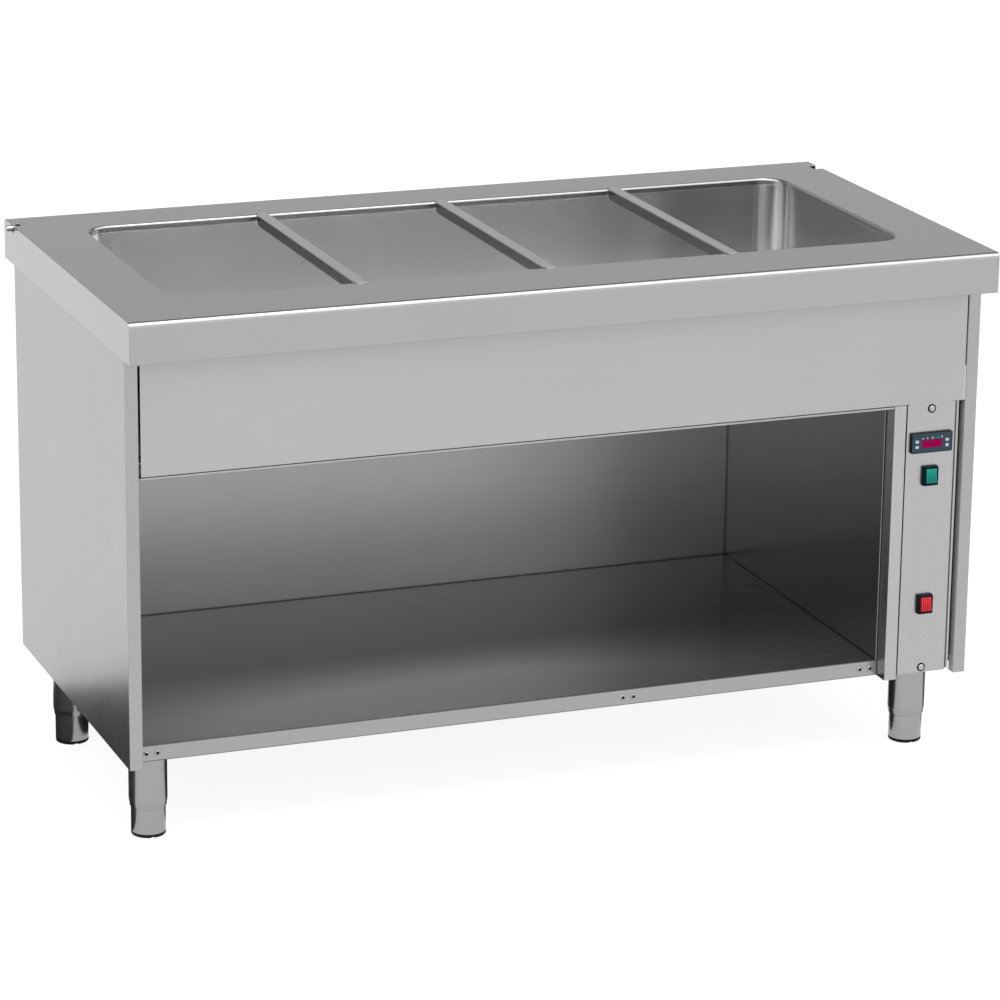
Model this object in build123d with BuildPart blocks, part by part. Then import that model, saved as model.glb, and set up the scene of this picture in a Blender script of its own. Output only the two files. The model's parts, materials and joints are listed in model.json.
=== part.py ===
# Bain marie counter: a stainless serving counter with a heated water well for pans,
# an open cupboard under it, a control column at the right and four adjustable legs.
# Millimetres, +Z up, front towards -Y. The origin is on the floor under the worktop's centre.

import os
from math import cos, radians, sin

from build123d import *

os.makedirs("parts", exist_ok=True)

# Pans and the well that they hang in
pan_pitch = 325.0
pan_count = 4
pan_length = 530.0
pan_side_seat = 8.0
pan_end_seat = 10.0
well_corner = 45.0
side_margin = 108.0
front_margin = 140.0
back_margin = 110.0

# Worktop sheet with its aprons and the rim of the well
height = 900.0
top_gauge = 1.5
apron_height = 68.0
apron_bend = 8.0
apron_return = 15.0
rim_bend = 4.0
rim_drop = 12.0

# Water tank
tank_depth = 190.0
tank_gauge = 1.0
tank_lap = 6.0
tank_foot_radius = 8.0
tank_dish = 9.0
weld_gap = 0.1
lap_gap = 0.2

# Divider bars across the well
bar_width = 22.0
bar_height = 17.0
bar_gauge = 1.2
bar_bend = 2.0
bar_end_gap = 2.0
bar_overlap = 5.0
bar_end_cut = 10.0

# Pin and notch that join one counter to the next
join_from_back = 55.0
pin_radius = 5.0
pin_reach = 12.0
pin_nose = 1.5
pin_strap_gauge = 3.0
pin_strap_drop = 38.0
pin_notch_length = 13.0
pin_notch_width = 16.0
pin_notch_gap = 1.0
next_notch_length = 16.0
next_notch_width = 29.0
notch_depth = 12.0
notch_room = 2.0
notch_run = 190.0

# Cabinet sheets
gauge = 1.0
sheet_bend = 2.0
fit_gap = 0.5
body_inset = 5.0
front_overhang = 48.0
back_overhang = 40.0
floor_clearance = 150.0
panel_width = 22.0
panel_lip = 18.0
back_hem = 16.0

# Bottom shelf, its runners and rivets
lip_setback = 31.0
lip_height = 28.0
lip_return = 12.0
shelf_flange = 16.0
runner_width = 40.0
runner_height = 22.0
runner_middle_x = 130.0
runner_end_gap = 6.0
rivet_pitch = 19.0
rivet_head_radius = 4.4
rivet_head_height = 1.6
rivet_dome = 1.3
rivet_radius = 2.4
rivet_length = 4.5
rivet_dimple = 1.6
rivet_dimple_depth = 3.0
rivet_inset = 23.0

# Cupboard walls
hem_width = 3.0
hem_length = 14.0
hem_bend = 1.35

# Fascia and the rail behind its lower edge
fascia_drop = 263.0
fascia_top_drop = 15.0
fascia_gap = 3.0
fascia_return = 16.0
rail_show = 6.0
rail_lip = 4.0
rail_height = 29.0
rail_depth = 25.0

# Control column
column_width = 153.0
post_flange = 22.5
post_depth = 61.0
post_lip = 12.0
post_return = 14.0
plate_gap = 1.5
plate_width = 90.0
hook_depth = 11.0
hook_gap = 4.4
hook_front = 6.0
hook_width = 4.4
plate_rise = 8.0
plate_top_gap = 1.0
plate_return = 12.0
tab_side_gap = 3.0
tab_overlap = 24.0
tab_drop = 18.0
head_rise = 60.0
head_return = 30.0
screw_edge = 9.0
screw_radius = 2.5
screw_head_radius = 5.5
screw_head_height = 2.6
screw_dome = 2.1
screw_length = 9.0
slot_length = 7.6
slot_width = 1.4
slot_depth = 1.1
slot_turn = 35.0
hole_gap = 0.2

# Digital thermostat
thermostat_drop = 67.0
bezel_width = 77.0
bezel_height = 35.0
bezel_depth = 6.0
bezel_corner = 2.5
bezel_edge = 1.2
case_width = 71.0
case_height = 29.0
case_depth = 48.0
window_width = 37.0
window_height = 13.5
window_drop = 1.5
window_pocket = 1.5
window_proud = 0.2
key_width = 6.4
key_height = 5.0
key_corner = 1.2
key_x = 28.0
key_spacing = 9.4
key_pocket = 4.0
key_length = 3.6
key_travel = 0.6
key_gap = 0.3

# Rocker switches
green_drop = 126.0
red_rise = 124.0
switch_width = 29.0
switch_height = 35.0
switch_corner = 2.5
switch_depth = 8.0
switch_taper = 9.0
switch_body_width = 24.5
switch_body_height = 30.5
switch_body_depth = 24.0
rocker_width = 19.0
rocker_height = 24.0
rocker_front = 10.5
rocker_back = 3.0
rocker_hollow = 0.7
rocker_side_gap = 0.4
rocker_end_gap = 1.3
rocker_tilt = -6.0
rocker_pivot_radius = 1.5
rocker_pivot_length = 2.2
rocker_rib_count = 5
rocker_rib_width = 2.0
rocker_rib_height = 0.8
pivot_gap = 0.05
pocket_floor_gap = 1.0

# Electrical parts behind the column
din_width = 35.0
din_depth = 7.5
din_flange = 5.0
din_bend = 1.2
din_length = 170.0
din_height = 430.0
din_front_y = -190.0
contactor_width = 45.0
contactor_height = 78.0
contactor_depth = 72.0
contactor_step = 16.0
contactor_nose = 39.0
terminal_width = 8.0
terminal_count = 7
terminal_height = 46.0
terminal_depth = 40.0
terminal_gap = 0.4
terminal_screw_radius = 2.4
terminal_screw_depth = 10.0
terminal_chamfer = 4.0

# Cable gland in the back panel
gland_x_inset = 62.0
gland_height = 230.0
gland_bore = 6.5
gland_thread = 10.0
gland_hex = 13.5
gland_hex_length = 7.0
gland_nose_radius = 11.0
gland_nose_edge = 3.5
gland_length = 22.0
gland_nut = 5.0
gland_hole_gap = 0.1

# Heating elements under the tank floor
element_radius = 4.25
element_row_count = 4
element_row_pitch = 100.0
element_bend = 40.0
element_front_inset = 55.0
element_centre_gap = 45.0
element_end_inset = 50.0
element_turn_inset = 60.0
element_floor_gap = 0.2
clamp_width = 20.0
clamp_gauge = 3.0
clamp_overhang = 22.0
clamp_bend = 4.0

# Insulation round and under the tank
jacket_thickness = 20.0
jacket_gap = 0.3
jacket_foot = 4.0
jacket_top_drop = 22.0
board_thickness = 20.0
board_edge = 10.0

# Temperature probe on the tank's right end wall
probe_radius = 3.25
probe_length = 90.0
probe_nose = 2.0
probe_rise = 25.0
probe_clip_width = 15.0
probe_clip_foot = 11.0
probe_clip_room = 0.8
probe_clip_bend = 1.1
probe_room = 15.0

# Drain fitting and ball valve
drain_end_inset = 160.0
drain_back_inset = 62.0
drain_flange_radius = 28.0
drain_flange_height = 2.0
drain_tail_radius = 13.2
drain_bore = 10.0
drain_tail_length = 70.0
drain_hole_gap = 0.3
drain_room = 2.0
valve_length = 66.0
valve_end_radius = 19.0
valve_socket = 15.0
valve_body_radius = 22.0
valve_outlet_length = 18.0
valve_outlet_chamfer = 1.5
ball_radius = 14.0
ball_gap = 0.3
ball_slot_width = 4.0
ball_slot_depth = 4.0
boss_radius = 10.0
boss_reach = 32.0
spindle_radius = 4.0
spindle_gap = 0.05
spindle_tang = 3.4
spindle_tang_height = 6.4
lever_gauge = 3.0
lever_width = 16.0
lever_length = 95.0
lever_hub_radius = 12.0
lever_lift = 10.0
lever_crank = 32.0
lever_bend = 4.5
lever_tip = 7.2

# Base rails, legs and adjustable feet
base_rail_width = 72.0
base_rail_gauge = 2.0
base_rail_bend = 3.0
base_rail_setback = 62.0
base_rail_gap = 17.0
leg_inset = 102.0
leg_radius = 31.75
leg_wall = 1.5
leg_neck_radius = 30.3
leg_taper_bottom = 54.0
leg_taper_top = 62.0
leg_end = 51.0
leg_plate = 4.0
leg_plate_length = 82.0
leg_plate_gap = 1.0
nut_height = 112.0
nut_thickness = 10.0
foot_radius = 28.5
foot_wall = 1.5
foot_top = 92.0
foot_cap = 4.0
foot_edge = 1.0
stem_radius = 8.0
stem_length = 60.0
stem_gap = 0.05
sole_height = 6.0
sole_edge = 3.0
sole_spigot = 8.0
sole_spigot_gap = 0.3
sole_notch_width = 7.0
sole_notch_depth = 6.0
sole_notch_height = 2.0

# Plan of the worktop and the well
well_length = pan_count * pan_pitch - 2 * pan_side_seat
well_depth = pan_length - 2 * pan_end_seat
length = well_length + 2 * side_margin
depth = front_margin + well_depth + back_margin
top_end = length / 2
top_front = -depth / 2
top_back = depth / 2
top_under = height - top_gauge
well_y = (front_margin - back_margin) / 2
well_end = well_length / 2
well_front = top_front + front_margin
well_back = top_back - back_margin
join_y = top_back - join_from_back

# Plan and levels of the cabinet
body_end = top_end - body_inset
body_front = top_front + front_overhang
body_back = top_back - back_overhang
back_inner = body_back - hem_width
back_outer = back_inner + gauge
panel_inner = body_end - panel_width
inside_end = panel_inner - fit_gap
shelf_top = floor_clearance + lip_height
lip_front = body_front + lip_setback
fascia_bottom = height - fascia_drop
fascia_top = height - fascia_top_drop
rail_bottom = fascia_bottom - rail_show
rail_top = rail_bottom + rail_height
column_left = body_end - column_width
plate_left = column_left + post_flange + plate_gap
plate_x = plate_left + plate_width / 2
plate_bottom = floor_clearance + plate_rise
plate_top = fascia_bottom - plate_top_gap
tab_width = plate_width - 2 * (gauge + tab_side_gap)
screw_levels = (plate_top - screw_edge, plate_bottom + screw_edge)
shelf_middle_y = (lip_front + back_inner) / 2

# Levels and outline of the tank
tank_floor = height - tank_depth
tank_under = tank_floor - tank_gauge
tank_top = height - rim_drop + tank_lap
lap_grow = top_gauge + lap_gap
tank_grow = lap_grow + tank_gauge
tank_end = well_end + tank_grow
probe_height = tank_floor + probe_rise
drain_x = well_end - drain_end_inset
drain_y = well_back - drain_back_inset


def front_plane(y):
    """A plane facing the front: x is X and y is Z, and an extrusion runs towards the front."""
    return Plane.XZ.offset(-y)


def side_plane(x):
    """A plane facing right: x is Y and y is Z, and an extrusion runs towards the right."""
    return Plane.YZ.offset(x)


def folded_section(plane, points, bend, thickness, inside=Side.LEFT):
    """The cross-section of a folded sheet whose outer face runs through the points."""
    with BuildSketch(plane) as section:
        with BuildLine():
            FilletPolyline(*points, radius=bend)
            offset(amount=thickness, side=inside)
        make_face()
    return section.sketch


def well_outline(plane, grow):
    """The rounded outline of the well, grown by a distance all round."""
    with BuildSketch(plane) as outline:
        with Locations((0, well_y)):
            RectangleRounded(well_length + 2 * grow, well_depth + 2 * grow, well_corner + grow)
    return outline.sketch


def keep(builder, name):
    """Labels a finished piece and writes it to its own file."""
    builder.part.label = name
    export_step(builder.part, f"parts/{name}.step")


# Worktop: one sheet folded down on all sides, with a turned-down rim round the well
with BuildPart() as worktop:
    with BuildSketch(Plane.XY.offset(height - apron_height)):
        Rectangle(length, depth)
    extrude(amount=apron_height)
    long_edges = worktop.faces().sort_by(Axis.Z)[-1].edges().filter_by(Axis.X)
    fillet(long_edges, radius=apron_bend)
    offset(amount=-top_gauge, openings=worktop.faces().sort_by(Axis.Z)[0])
    with BuildSketch(Plane.XY.offset(height - apron_height)):
        for hem_y in (top_front + apron_return / 2, top_back - apron_return / 2):
            with Locations((0, hem_y)):
                Rectangle(length, apron_return)
    extrude(amount=top_gauge)
    extrude(well_outline(Plane.XY.offset(height - rim_drop), top_gauge), amount=rim_drop - top_gauge)
    extrude(well_outline(Plane.XY.offset(height), 0), amount=-rim_drop, mode=Mode.SUBTRACT)
    top_face = worktop.faces().sort_by(Axis.Z)[-1]
    level_faces = worktop.faces().filter_by(Axis.Z).group_by(Axis.Z)
    under_face = level_faces[-2].sort_by(SortBy.AREA)[-1]
    fillet(under_face.inner_wires()[0].edges(), radius=rim_bend - top_gauge)
    fillet(top_face.inner_wires()[0].edges(), radius=rim_bend)
    with BuildSketch(Plane.XY.offset(height)):
        with Locations((-top_end + pin_notch_length / 2, join_y)):
            Rectangle(pin_notch_length, pin_notch_width)
        with Locations((top_end - next_notch_length / 2, join_y)):
            Rectangle(next_notch_length, next_notch_width)
    extrude(amount=-notch_depth, mode=Mode.SUBTRACT)
keep(worktop, "worktop")

# Tank: a well welded from a dished floor, four walls and four rolled corners,
# which laps round the rim from outside
seam_level = tank_under + tank_dish + weld_gap
seam_xs = (-well_end + well_corner, well_end - well_corner)
seam_ys = (well_front + well_corner, well_back - well_corner)
with BuildPart() as tank:
    extrude(well_outline(Plane.XY.offset(tank_under), tank_grow), amount=tank_dish)
    fillet(tank.faces().sort_by(Axis.Z)[0].edges(), radius=tank_foot_radius)
    offset(amount=-tank_gauge, openings=tank.faces().sort_by(Axis.Z)[-1])
    with BuildSketch(Plane.XY.offset(tank_under)):
        with Locations((drain_x, drain_y)):
            Circle(drain_tail_radius + drain_hole_gap)
    extrude(amount=2 * tank_gauge, mode=Mode.SUBTRACT)
    with BuildSketch(Plane.XY.offset(seam_level)):
        with Locations((0, well_y)):
            RectangleRounded(
                well_length + 2 * tank_grow,
                well_depth + 2 * tank_grow,
                well_corner + tank_grow,
            )
            RectangleRounded(
                well_length + 2 * lap_grow,
                well_depth + 2 * lap_grow,
                well_corner + lap_grow,
                mode=Mode.SUBTRACT,
            )
        with Locations(*[(x, well_y) for x in seam_xs]):
            Rectangle(weld_gap, 2 * well_depth, mode=Mode.SUBTRACT)
        with Locations(*[(0, y) for y in seam_ys]):
            Rectangle(2 * well_length, weld_gap, mode=Mode.SUBTRACT)
    extrude(amount=tank_top - seam_level)
keep(tank, "tank")

# Divider bars: folded channels between the pans, hung on the rim by their end tongues,
# with their flanks cut back at the ends to clear the rim's bend
bar_top = height + bar_gauge
bar_length = well_depth - 2 * bar_end_gap
tongue_length = well_depth + 2 * (rim_bend + bar_overlap)
tongue_width = bar_width - 2 * bar_bend
bar_places = {
    f"divider_bar_{number}": (number - pan_count / 2) * pan_pitch for number in range(1, pan_count)
}
for bar_name, bar_x in bar_places.items():
    with BuildPart() as bar:
        bar_points = [
            (bar_x + bar_width / 2, height - bar_height),
            (bar_x + bar_width / 2, bar_top),
            (bar_x - bar_width / 2, bar_top),
            (bar_x - bar_width / 2, height - bar_height),
        ]
        extrude(
            folded_section(front_plane(well_back - bar_end_gap), bar_points, bar_bend, bar_gauge),
            amount=bar_length,
        )
        flank_corners = bar.edges().filter_by(Axis.X).group_by(Axis.Z)[0]
        chamfer(flank_corners, length=bar_end_cut)
        with BuildSketch(Plane.XY.offset(height)):
            with Locations((bar_x, well_y)):
                Rectangle(tongue_width, tongue_length)
        extrude(amount=bar_gauge)
    keep(bar, bar_name)

# Joining pin: a round pin on a strap welded inside the worktop's left end fold
strap_outer = -top_end + top_gauge
pin_z = height - pin_radius
with BuildPart() as joining_pin:
    with BuildSketch(side_plane(strap_outer)):
        with Locations((join_y, height - pin_strap_drop / 2)):
            Rectangle(pin_notch_width - 2 * pin_notch_gap, pin_strap_drop)
    extrude(amount=pin_strap_gauge)
    with BuildSketch(side_plane(strap_outer)):
        with Locations((join_y, pin_z)):
            Circle(pin_radius)
    extrude(amount=-(pin_reach + top_gauge))
    chamfer(joining_pin.edges().filter_by(GeomType.CIRCLE).sort_by(Axis.X)[0], length=pin_nose)
keep(joining_pin, "joining_pin")

# End panels: upright sheets folded in at the front and the back, and lowered towards the back
# to leave room under the joining notches
for panel_name, side in (("left_end_panel", -1), ("right_end_panel", 1)):
    with BuildPart() as end_panel:
        panel_points = [
            (side * panel_inner, body_front + panel_lip),
            (side * panel_inner, body_front),
            (side * body_end, body_front),
            (side * body_end, body_back),
            (side * panel_inner, body_back),
            (side * panel_inner, body_back - panel_lip),
        ]
        panel_side = Side.LEFT if side > 0 else Side.RIGHT
        extrude(
            folded_section(Plane.XY.offset(floor_clearance), panel_points, sheet_bend, gauge, panel_side),
            amount=top_under - floor_clearance,
        )
        with BuildSketch(Plane.XY.offset(height)):
            with Locations((side * body_end, body_back)):
                Rectangle(2 * panel_width + 2 * gauge, 2 * notch_run)
        extrude(amount=-(notch_depth + notch_room), mode=Mode.SUBTRACT)
    keep(end_panel, panel_name)

# Back panel: the cupboard's back wall, with a hem turned out along its top and its bottom
gland_x = inside_end - gland_x_inset
with BuildPart() as back_panel:
    back_points = [
        (body_back, floor_clearance + back_hem),
        (body_back, floor_clearance),
        (back_inner, floor_clearance),
        (back_inner, top_under),
        (body_back, top_under),
        (body_back, top_under - back_hem),
    ]
    extrude(
        folded_section(side_plane(-inside_end), back_points, hem_bend, gauge, Side.RIGHT),
        amount=2 * inside_end,
    )
    with BuildSketch(front_plane(back_outer)):
        with Locations((gland_x, gland_height)):
            Circle(gland_thread + gland_hole_gap)
    extrude(amount=gauge, mode=Mode.SUBTRACT)
keep(back_panel, "back_panel")

# Bottom shelf: a folded sheet with a front lip, turned under at its lower edge
rivet_level = floor_clearance + lip_height / 2
shelf_left = -inside_end
rivet_groups = (
    shelf_left + rivet_inset,
    runner_middle_x,
    column_left - rivet_inset,
)
rivet_shifts = (-rivet_pitch / 2, rivet_pitch / 2)
rivet_places = [(x + shift, rivet_level) for x in rivet_groups for shift in rivet_shifts]
with BuildPart() as bottom_shelf:
    shelf_points = [
        (lip_front + lip_return, floor_clearance),
        (lip_front, floor_clearance),
        (lip_front, shelf_top),
        (back_inner, shelf_top),
        (back_inner, shelf_top - shelf_flange),
    ]
    extrude(
        folded_section(side_plane(shelf_left), shelf_points, sheet_bend, gauge, Side.RIGHT),
        amount=column_left - fit_gap - shelf_left,
    )
    with BuildSketch(front_plane(lip_front)):
        with Locations(*rivet_places):
            Circle(rivet_radius + hole_gap)
    extrude(amount=-gauge, mode=Mode.SUBTRACT)
keep(bottom_shelf, "bottom_shelf")

# Rivets: blind rivets with domed heads and a dimple, in pairs along the lip
with BuildPart() as shelf_rivets:
    with BuildSketch(front_plane(lip_front)):
        with Locations(*rivet_places):
            Circle(rivet_head_radius)
    extrude(amount=rivet_head_height)
    fillet(
        shelf_rivets.edges().filter_by(GeomType.CIRCLE).group_by(Axis.Y)[0],
        radius=rivet_dome,
    )
    with BuildSketch(front_plane(lip_front)):
        with Locations(*rivet_places):
            Circle(rivet_radius)
    extrude(amount=-rivet_length)
    with BuildSketch(front_plane(lip_front - rivet_head_height)):
        with Locations(*rivet_places):
            Circle(rivet_dimple)
    extrude(amount=-rivet_dimple_depth, mode=Mode.SUBTRACT)
keep(shelf_rivets, "shelf_rivets")

# Runners: channels under the shelf, front to back, behind the rivets
shelf_under = shelf_top - gauge
runner_front = lip_front + lip_return + runner_end_gap
runner_back = back_inner - gauge - runner_end_gap
with BuildPart() as shelf_runners:
    for runner_x in rivet_groups[1:]:
        runner_points = [
            (runner_x + runner_width / 2, shelf_under - runner_height),
            (runner_x + runner_width / 2, shelf_under),
            (runner_x - runner_width / 2, shelf_under),
            (runner_x - runner_width / 2, shelf_under - runner_height),
        ]
        extrude(
            folded_section(front_plane(runner_back), runner_points, sheet_bend, gauge),
            amount=runner_back - runner_front,
        )
keep(shelf_runners, "shelf_runners")

# Base rails: channels from front to back that carry the legs
base_rail_x = inside_end - base_rail_width / 2
base_rail_front = body_front + base_rail_setback
base_rail_back = back_inner - base_rail_gap
leg_ys = {"front": body_front + leg_inset, "rear": body_back - leg_inset}
for rail_name, side in (("base_rail_left", -1), ("base_rail_right", 1)):
    with BuildPart() as base_rail:
        rail_x = side * base_rail_x
        base_points = [
            (rail_x + base_rail_width / 2, floor_clearance),
            (rail_x + base_rail_width / 2, shelf_under),
            (rail_x - base_rail_width / 2, shelf_under),
            (rail_x - base_rail_width / 2, floor_clearance),
        ]
        extrude(
            folded_section(front_plane(base_rail_back), base_points, base_rail_bend, base_rail_gauge),
            amount=base_rail_back - base_rail_front,
        )
    keep(base_rail, rail_name)

# Inner walls: the cupboard's side linings, each with a hem along its front edge
wall_faces = {"inner_wall_left": (-inside_end, 1), "inner_wall_right": (column_left, -1)}
for wall_name, (wall_outer, side) in wall_faces.items():
    with BuildPart() as inner_wall:
        wall_points = [
            (wall_outer, lip_front + hem_length),
            (wall_outer, lip_front),
            (wall_outer + side * hem_width, lip_front),
            (wall_outer + side * hem_width, back_inner),
        ]
        wall_side = Side.LEFT if side > 0 else Side.RIGHT
        extrude(
            folded_section(Plane.XY.offset(shelf_top), wall_points, hem_bend, gauge, wall_side),
            amount=rail_top - shelf_top,
        )
    keep(inner_wall, wall_name)

# Ceiling panel: closes the cupboard under the tank and carries the insulation board
ceiling_left = -inside_end
ceiling_right = column_left
ceiling_front = body_front + gauge + fit_gap
with BuildPart() as ceiling_panel:
    with BuildSketch(Plane.XY.offset(rail_top)):
        with Locations(((ceiling_left + ceiling_right) / 2, (ceiling_front + back_inner) / 2)):
            Rectangle(ceiling_right - ceiling_left, back_inner - ceiling_front)
        with Locations((drain_x, drain_y)):
            Circle(drain_tail_radius + drain_room, mode=Mode.SUBTRACT)
    extrude(amount=gauge)
keep(ceiling_panel, "ceiling_panel")

# Front fascia: the flat panel under the apron, across the whole width
with BuildPart() as front_fascia:
    fascia_points = [
        (body_front, fascia_bottom),
        (body_front, fascia_top),
        (body_front + fascia_return, fascia_top),
    ]
    fascia_end = panel_inner - fascia_gap
    extrude(
        folded_section(side_plane(-fascia_end), fascia_points, sheet_bend, gauge, Side.RIGHT),
        amount=2 * fascia_end,
    )
keep(front_fascia, "front_fascia")

# Fascia rail: a channel open to the front, behind the fascia, whose short lower lip shows
# below the fascia with a slot between them
with BuildPart() as fascia_rail:
    rail_front = body_front + gauge
    rail_points = [
        (rail_front, rail_bottom + rail_lip),
        (rail_front, rail_bottom),
        (rail_front + rail_depth, rail_bottom),
        (rail_front + rail_depth, rail_top),
        (rail_front, rail_top),
    ]
    extrude(
        folded_section(side_plane(-inside_end), rail_points, sheet_bend, gauge),
        amount=column_left - fit_gap + inside_end,
    )
keep(fascia_rail, "fascia_rail")

# Control post: the column's folded left upright
with BuildPart() as control_post:
    post_right = column_left + post_flange
    post_points = [
        (post_right, body_front + post_lip),
        (post_right, body_front),
        (column_left, body_front),
        (column_left, body_front + post_depth),
        (column_left + post_return, body_front + post_depth),
    ]
    extrude(
        folded_section(Plane.XY.offset(floor_clearance), post_points, sheet_bend, gauge, Side.RIGHT),
        amount=fascia_bottom - plate_top_gap - floor_clearance,
    )
keep(control_post, "control_post")

# Column floor: a sheet on the right base rail that closes the column from below, with a tab
# turned down at the front for the plate's lower screw
tab_face = body_front + gauge
floor_left = column_left + fit_gap
floor_front = body_front + plate_return + fit_gap
floor_back = back_inner - fit_gap
with BuildPart() as column_floor:
    with BuildSketch(Plane.XY.offset(shelf_under)):
        with Locations(((floor_left + inside_end) / 2, (floor_front + floor_back) / 2)):
            Rectangle(inside_end - floor_left, floor_back - floor_front)
        with Locations((column_left + post_flange / 2, body_front)):
            Rectangle(post_flange + 2 * fit_gap, 2 * (post_depth + fit_gap), mode=Mode.SUBTRACT)
        with Locations((plate_x, (tab_face + floor_front) / 2)):
            Rectangle(tab_width, floor_front - tab_face)
    extrude(amount=gauge)
    with BuildSketch(front_plane(tab_face)):
        with Locations((plate_x, shelf_top - tab_drop / 2)):
            Rectangle(tab_width, tab_drop)
        with Locations((plate_x, screw_levels[1])):
            Circle(screw_radius + hole_gap, mode=Mode.SUBTRACT)
    extrude(amount=-gauge)
keep(column_floor, "column_floor")

# Column head: an angle behind the fascia, with a tab for the plate's upper screw
with BuildPart() as column_head:
    head_top = fascia_bottom + head_rise
    with BuildSketch(front_plane(tab_face)):
        with Locations(((column_left + inside_end) / 2, (fascia_bottom + head_top) / 2)):
            Rectangle(inside_end - column_left, head_rise)
        with Locations((plate_x, fascia_bottom - tab_overlap / 2)):
            Rectangle(tab_width, tab_overlap)
        with Locations((plate_x, screw_levels[0])):
            Circle(screw_radius + hole_gap, mode=Mode.SUBTRACT)
    extrude(amount=-gauge)
    with BuildSketch(Plane.XY.offset(head_top)):
        with Locations(((column_left + inside_end) / 2, tab_face + head_return / 2)):
            Rectangle(inside_end - column_left, head_return)
    extrude(amount=-gauge)
keep(column_head, "column_head")

# Control plate: a shallow folded cover with the cut-outs for the thermostat and switches,
# and a hook folded along its right edge that stiffens it
thermostat_z = plate_top - thermostat_drop
switch_levels = {"green": plate_top - green_drop, "red": plate_bottom + red_rise}
with BuildPart() as control_plate:
    plate_right = plate_left + plate_width
    plate_points = [
        (plate_left, body_front + plate_return),
        (plate_left, body_front),
        (plate_right, body_front),
        (plate_right, body_front + hook_depth),
        (plate_right + hook_gap, body_front + hook_depth),
        (plate_right + hook_gap, body_front + hook_front),
        (plate_right + hook_gap + hook_width, body_front + hook_front),
    ]
    extrude(
        folded_section(Plane.XY.offset(plate_bottom), plate_points, sheet_bend, gauge),
        amount=plate_top - plate_bottom,
    )
    with BuildSketch(front_plane(body_front)):
        with Locations((plate_x, thermostat_z)):
            Rectangle(case_width + 2 * hole_gap, case_height + 2 * hole_gap)
        for switch_z in switch_levels.values():
            with Locations((plate_x, switch_z)):
                Rectangle(switch_body_width + 2 * hole_gap, switch_body_height + 2 * hole_gap)
        with Locations(*[(plate_x, z) for z in screw_levels]):
            Circle(screw_radius + hole_gap)
    extrude(amount=-gauge, mode=Mode.SUBTRACT)
keep(control_plate, "control_plate")

# Plate screws: domed heads with a slot, one at the top and one at the bottom
with BuildPart() as plate_screws:
    with BuildSketch(front_plane(body_front)):
        with Locations(*[(plate_x, z) for z in screw_levels]):
            Circle(screw_head_radius)
    extrude(amount=screw_head_height)
    fillet(
        plate_screws.edges().filter_by(GeomType.CIRCLE).group_by(Axis.Y)[0],
        radius=screw_dome,
    )
    with BuildSketch(front_plane(body_front)):
        with Locations(*[(plate_x, z) for z in screw_levels]):
            Circle(screw_radius)
    extrude(amount=-screw_length)
    with BuildSketch(front_plane(body_front - screw_head_height)):
        with Locations(*[(plate_x, z) for z in screw_levels]):
            Rectangle(slot_length, slot_width, rotation=slot_turn)
    extrude(amount=-slot_depth, mode=Mode.SUBTRACT)
keep(plate_screws, "plate_screws")

# Thermostat case: a bezel on the plate and the case behind it, with pockets for its face
bezel_front = body_front - bezel_depth
window_z = thermostat_z - window_drop
key_places = {
    "key_upper_left": (plate_x - key_x, window_z + key_spacing / 2),
    "key_lower_left": (plate_x - key_x, window_z - key_spacing / 2),
    "key_upper_right": (plate_x + key_x, window_z + key_spacing / 2),
    "key_lower_right": (plate_x + key_x, window_z - key_spacing / 2),
}
with BuildPart() as thermostat_case:
    with BuildSketch(front_plane(body_front)):
        with Locations((plate_x, thermostat_z)):
            RectangleRounded(bezel_width, bezel_height, bezel_corner)
    extrude(amount=bezel_depth)
    fillet(thermostat_case.faces().sort_by(Axis.Y)[0].edges(), radius=bezel_edge)
    with BuildSketch(front_plane(body_front)):
        with Locations((plate_x, thermostat_z)):
            Rectangle(case_width, case_height)
    extrude(amount=-case_depth)
    with BuildSketch(front_plane(bezel_front)):
        with Locations((plate_x, window_z)):
            Rectangle(window_width + 2 * hole_gap, window_height + 2 * hole_gap)
    extrude(amount=-window_pocket, mode=Mode.SUBTRACT)
    with BuildSketch(front_plane(bezel_front)):
        with Locations(*key_places.values()):
            RectangleRounded(key_width + 2 * key_gap, key_height + 2 * key_gap, key_corner + key_gap)
    extrude(amount=-key_pocket, mode=Mode.SUBTRACT)
keep(thermostat_case, "thermostat_case")

# Thermostat window: the lens over the display
with BuildPart() as thermostat_window:
    with BuildSketch(front_plane(bezel_front + window_pocket)):
        with Locations((plate_x, window_z)):
            RectangleRounded(window_width, window_height, hole_gap)
    extrude(amount=window_pocket + window_proud)
keep(thermostat_window, "thermostat_window")

# Thermostat keys: four small push keys that travel into the bezel
key_back = bezel_front + key_pocket - key_travel - key_gap
for key_name, key_place in key_places.items():
    with BuildPart() as key:
        with BuildSketch(front_plane(key_back)):
            with Locations(key_place):
                RectangleRounded(key_width, key_height, key_corner)
        extrude(amount=key_length)
        fillet(key.faces().sort_by(Axis.Y)[0].edges(), radius=key_gap)
    keep(key, key_name)

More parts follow.
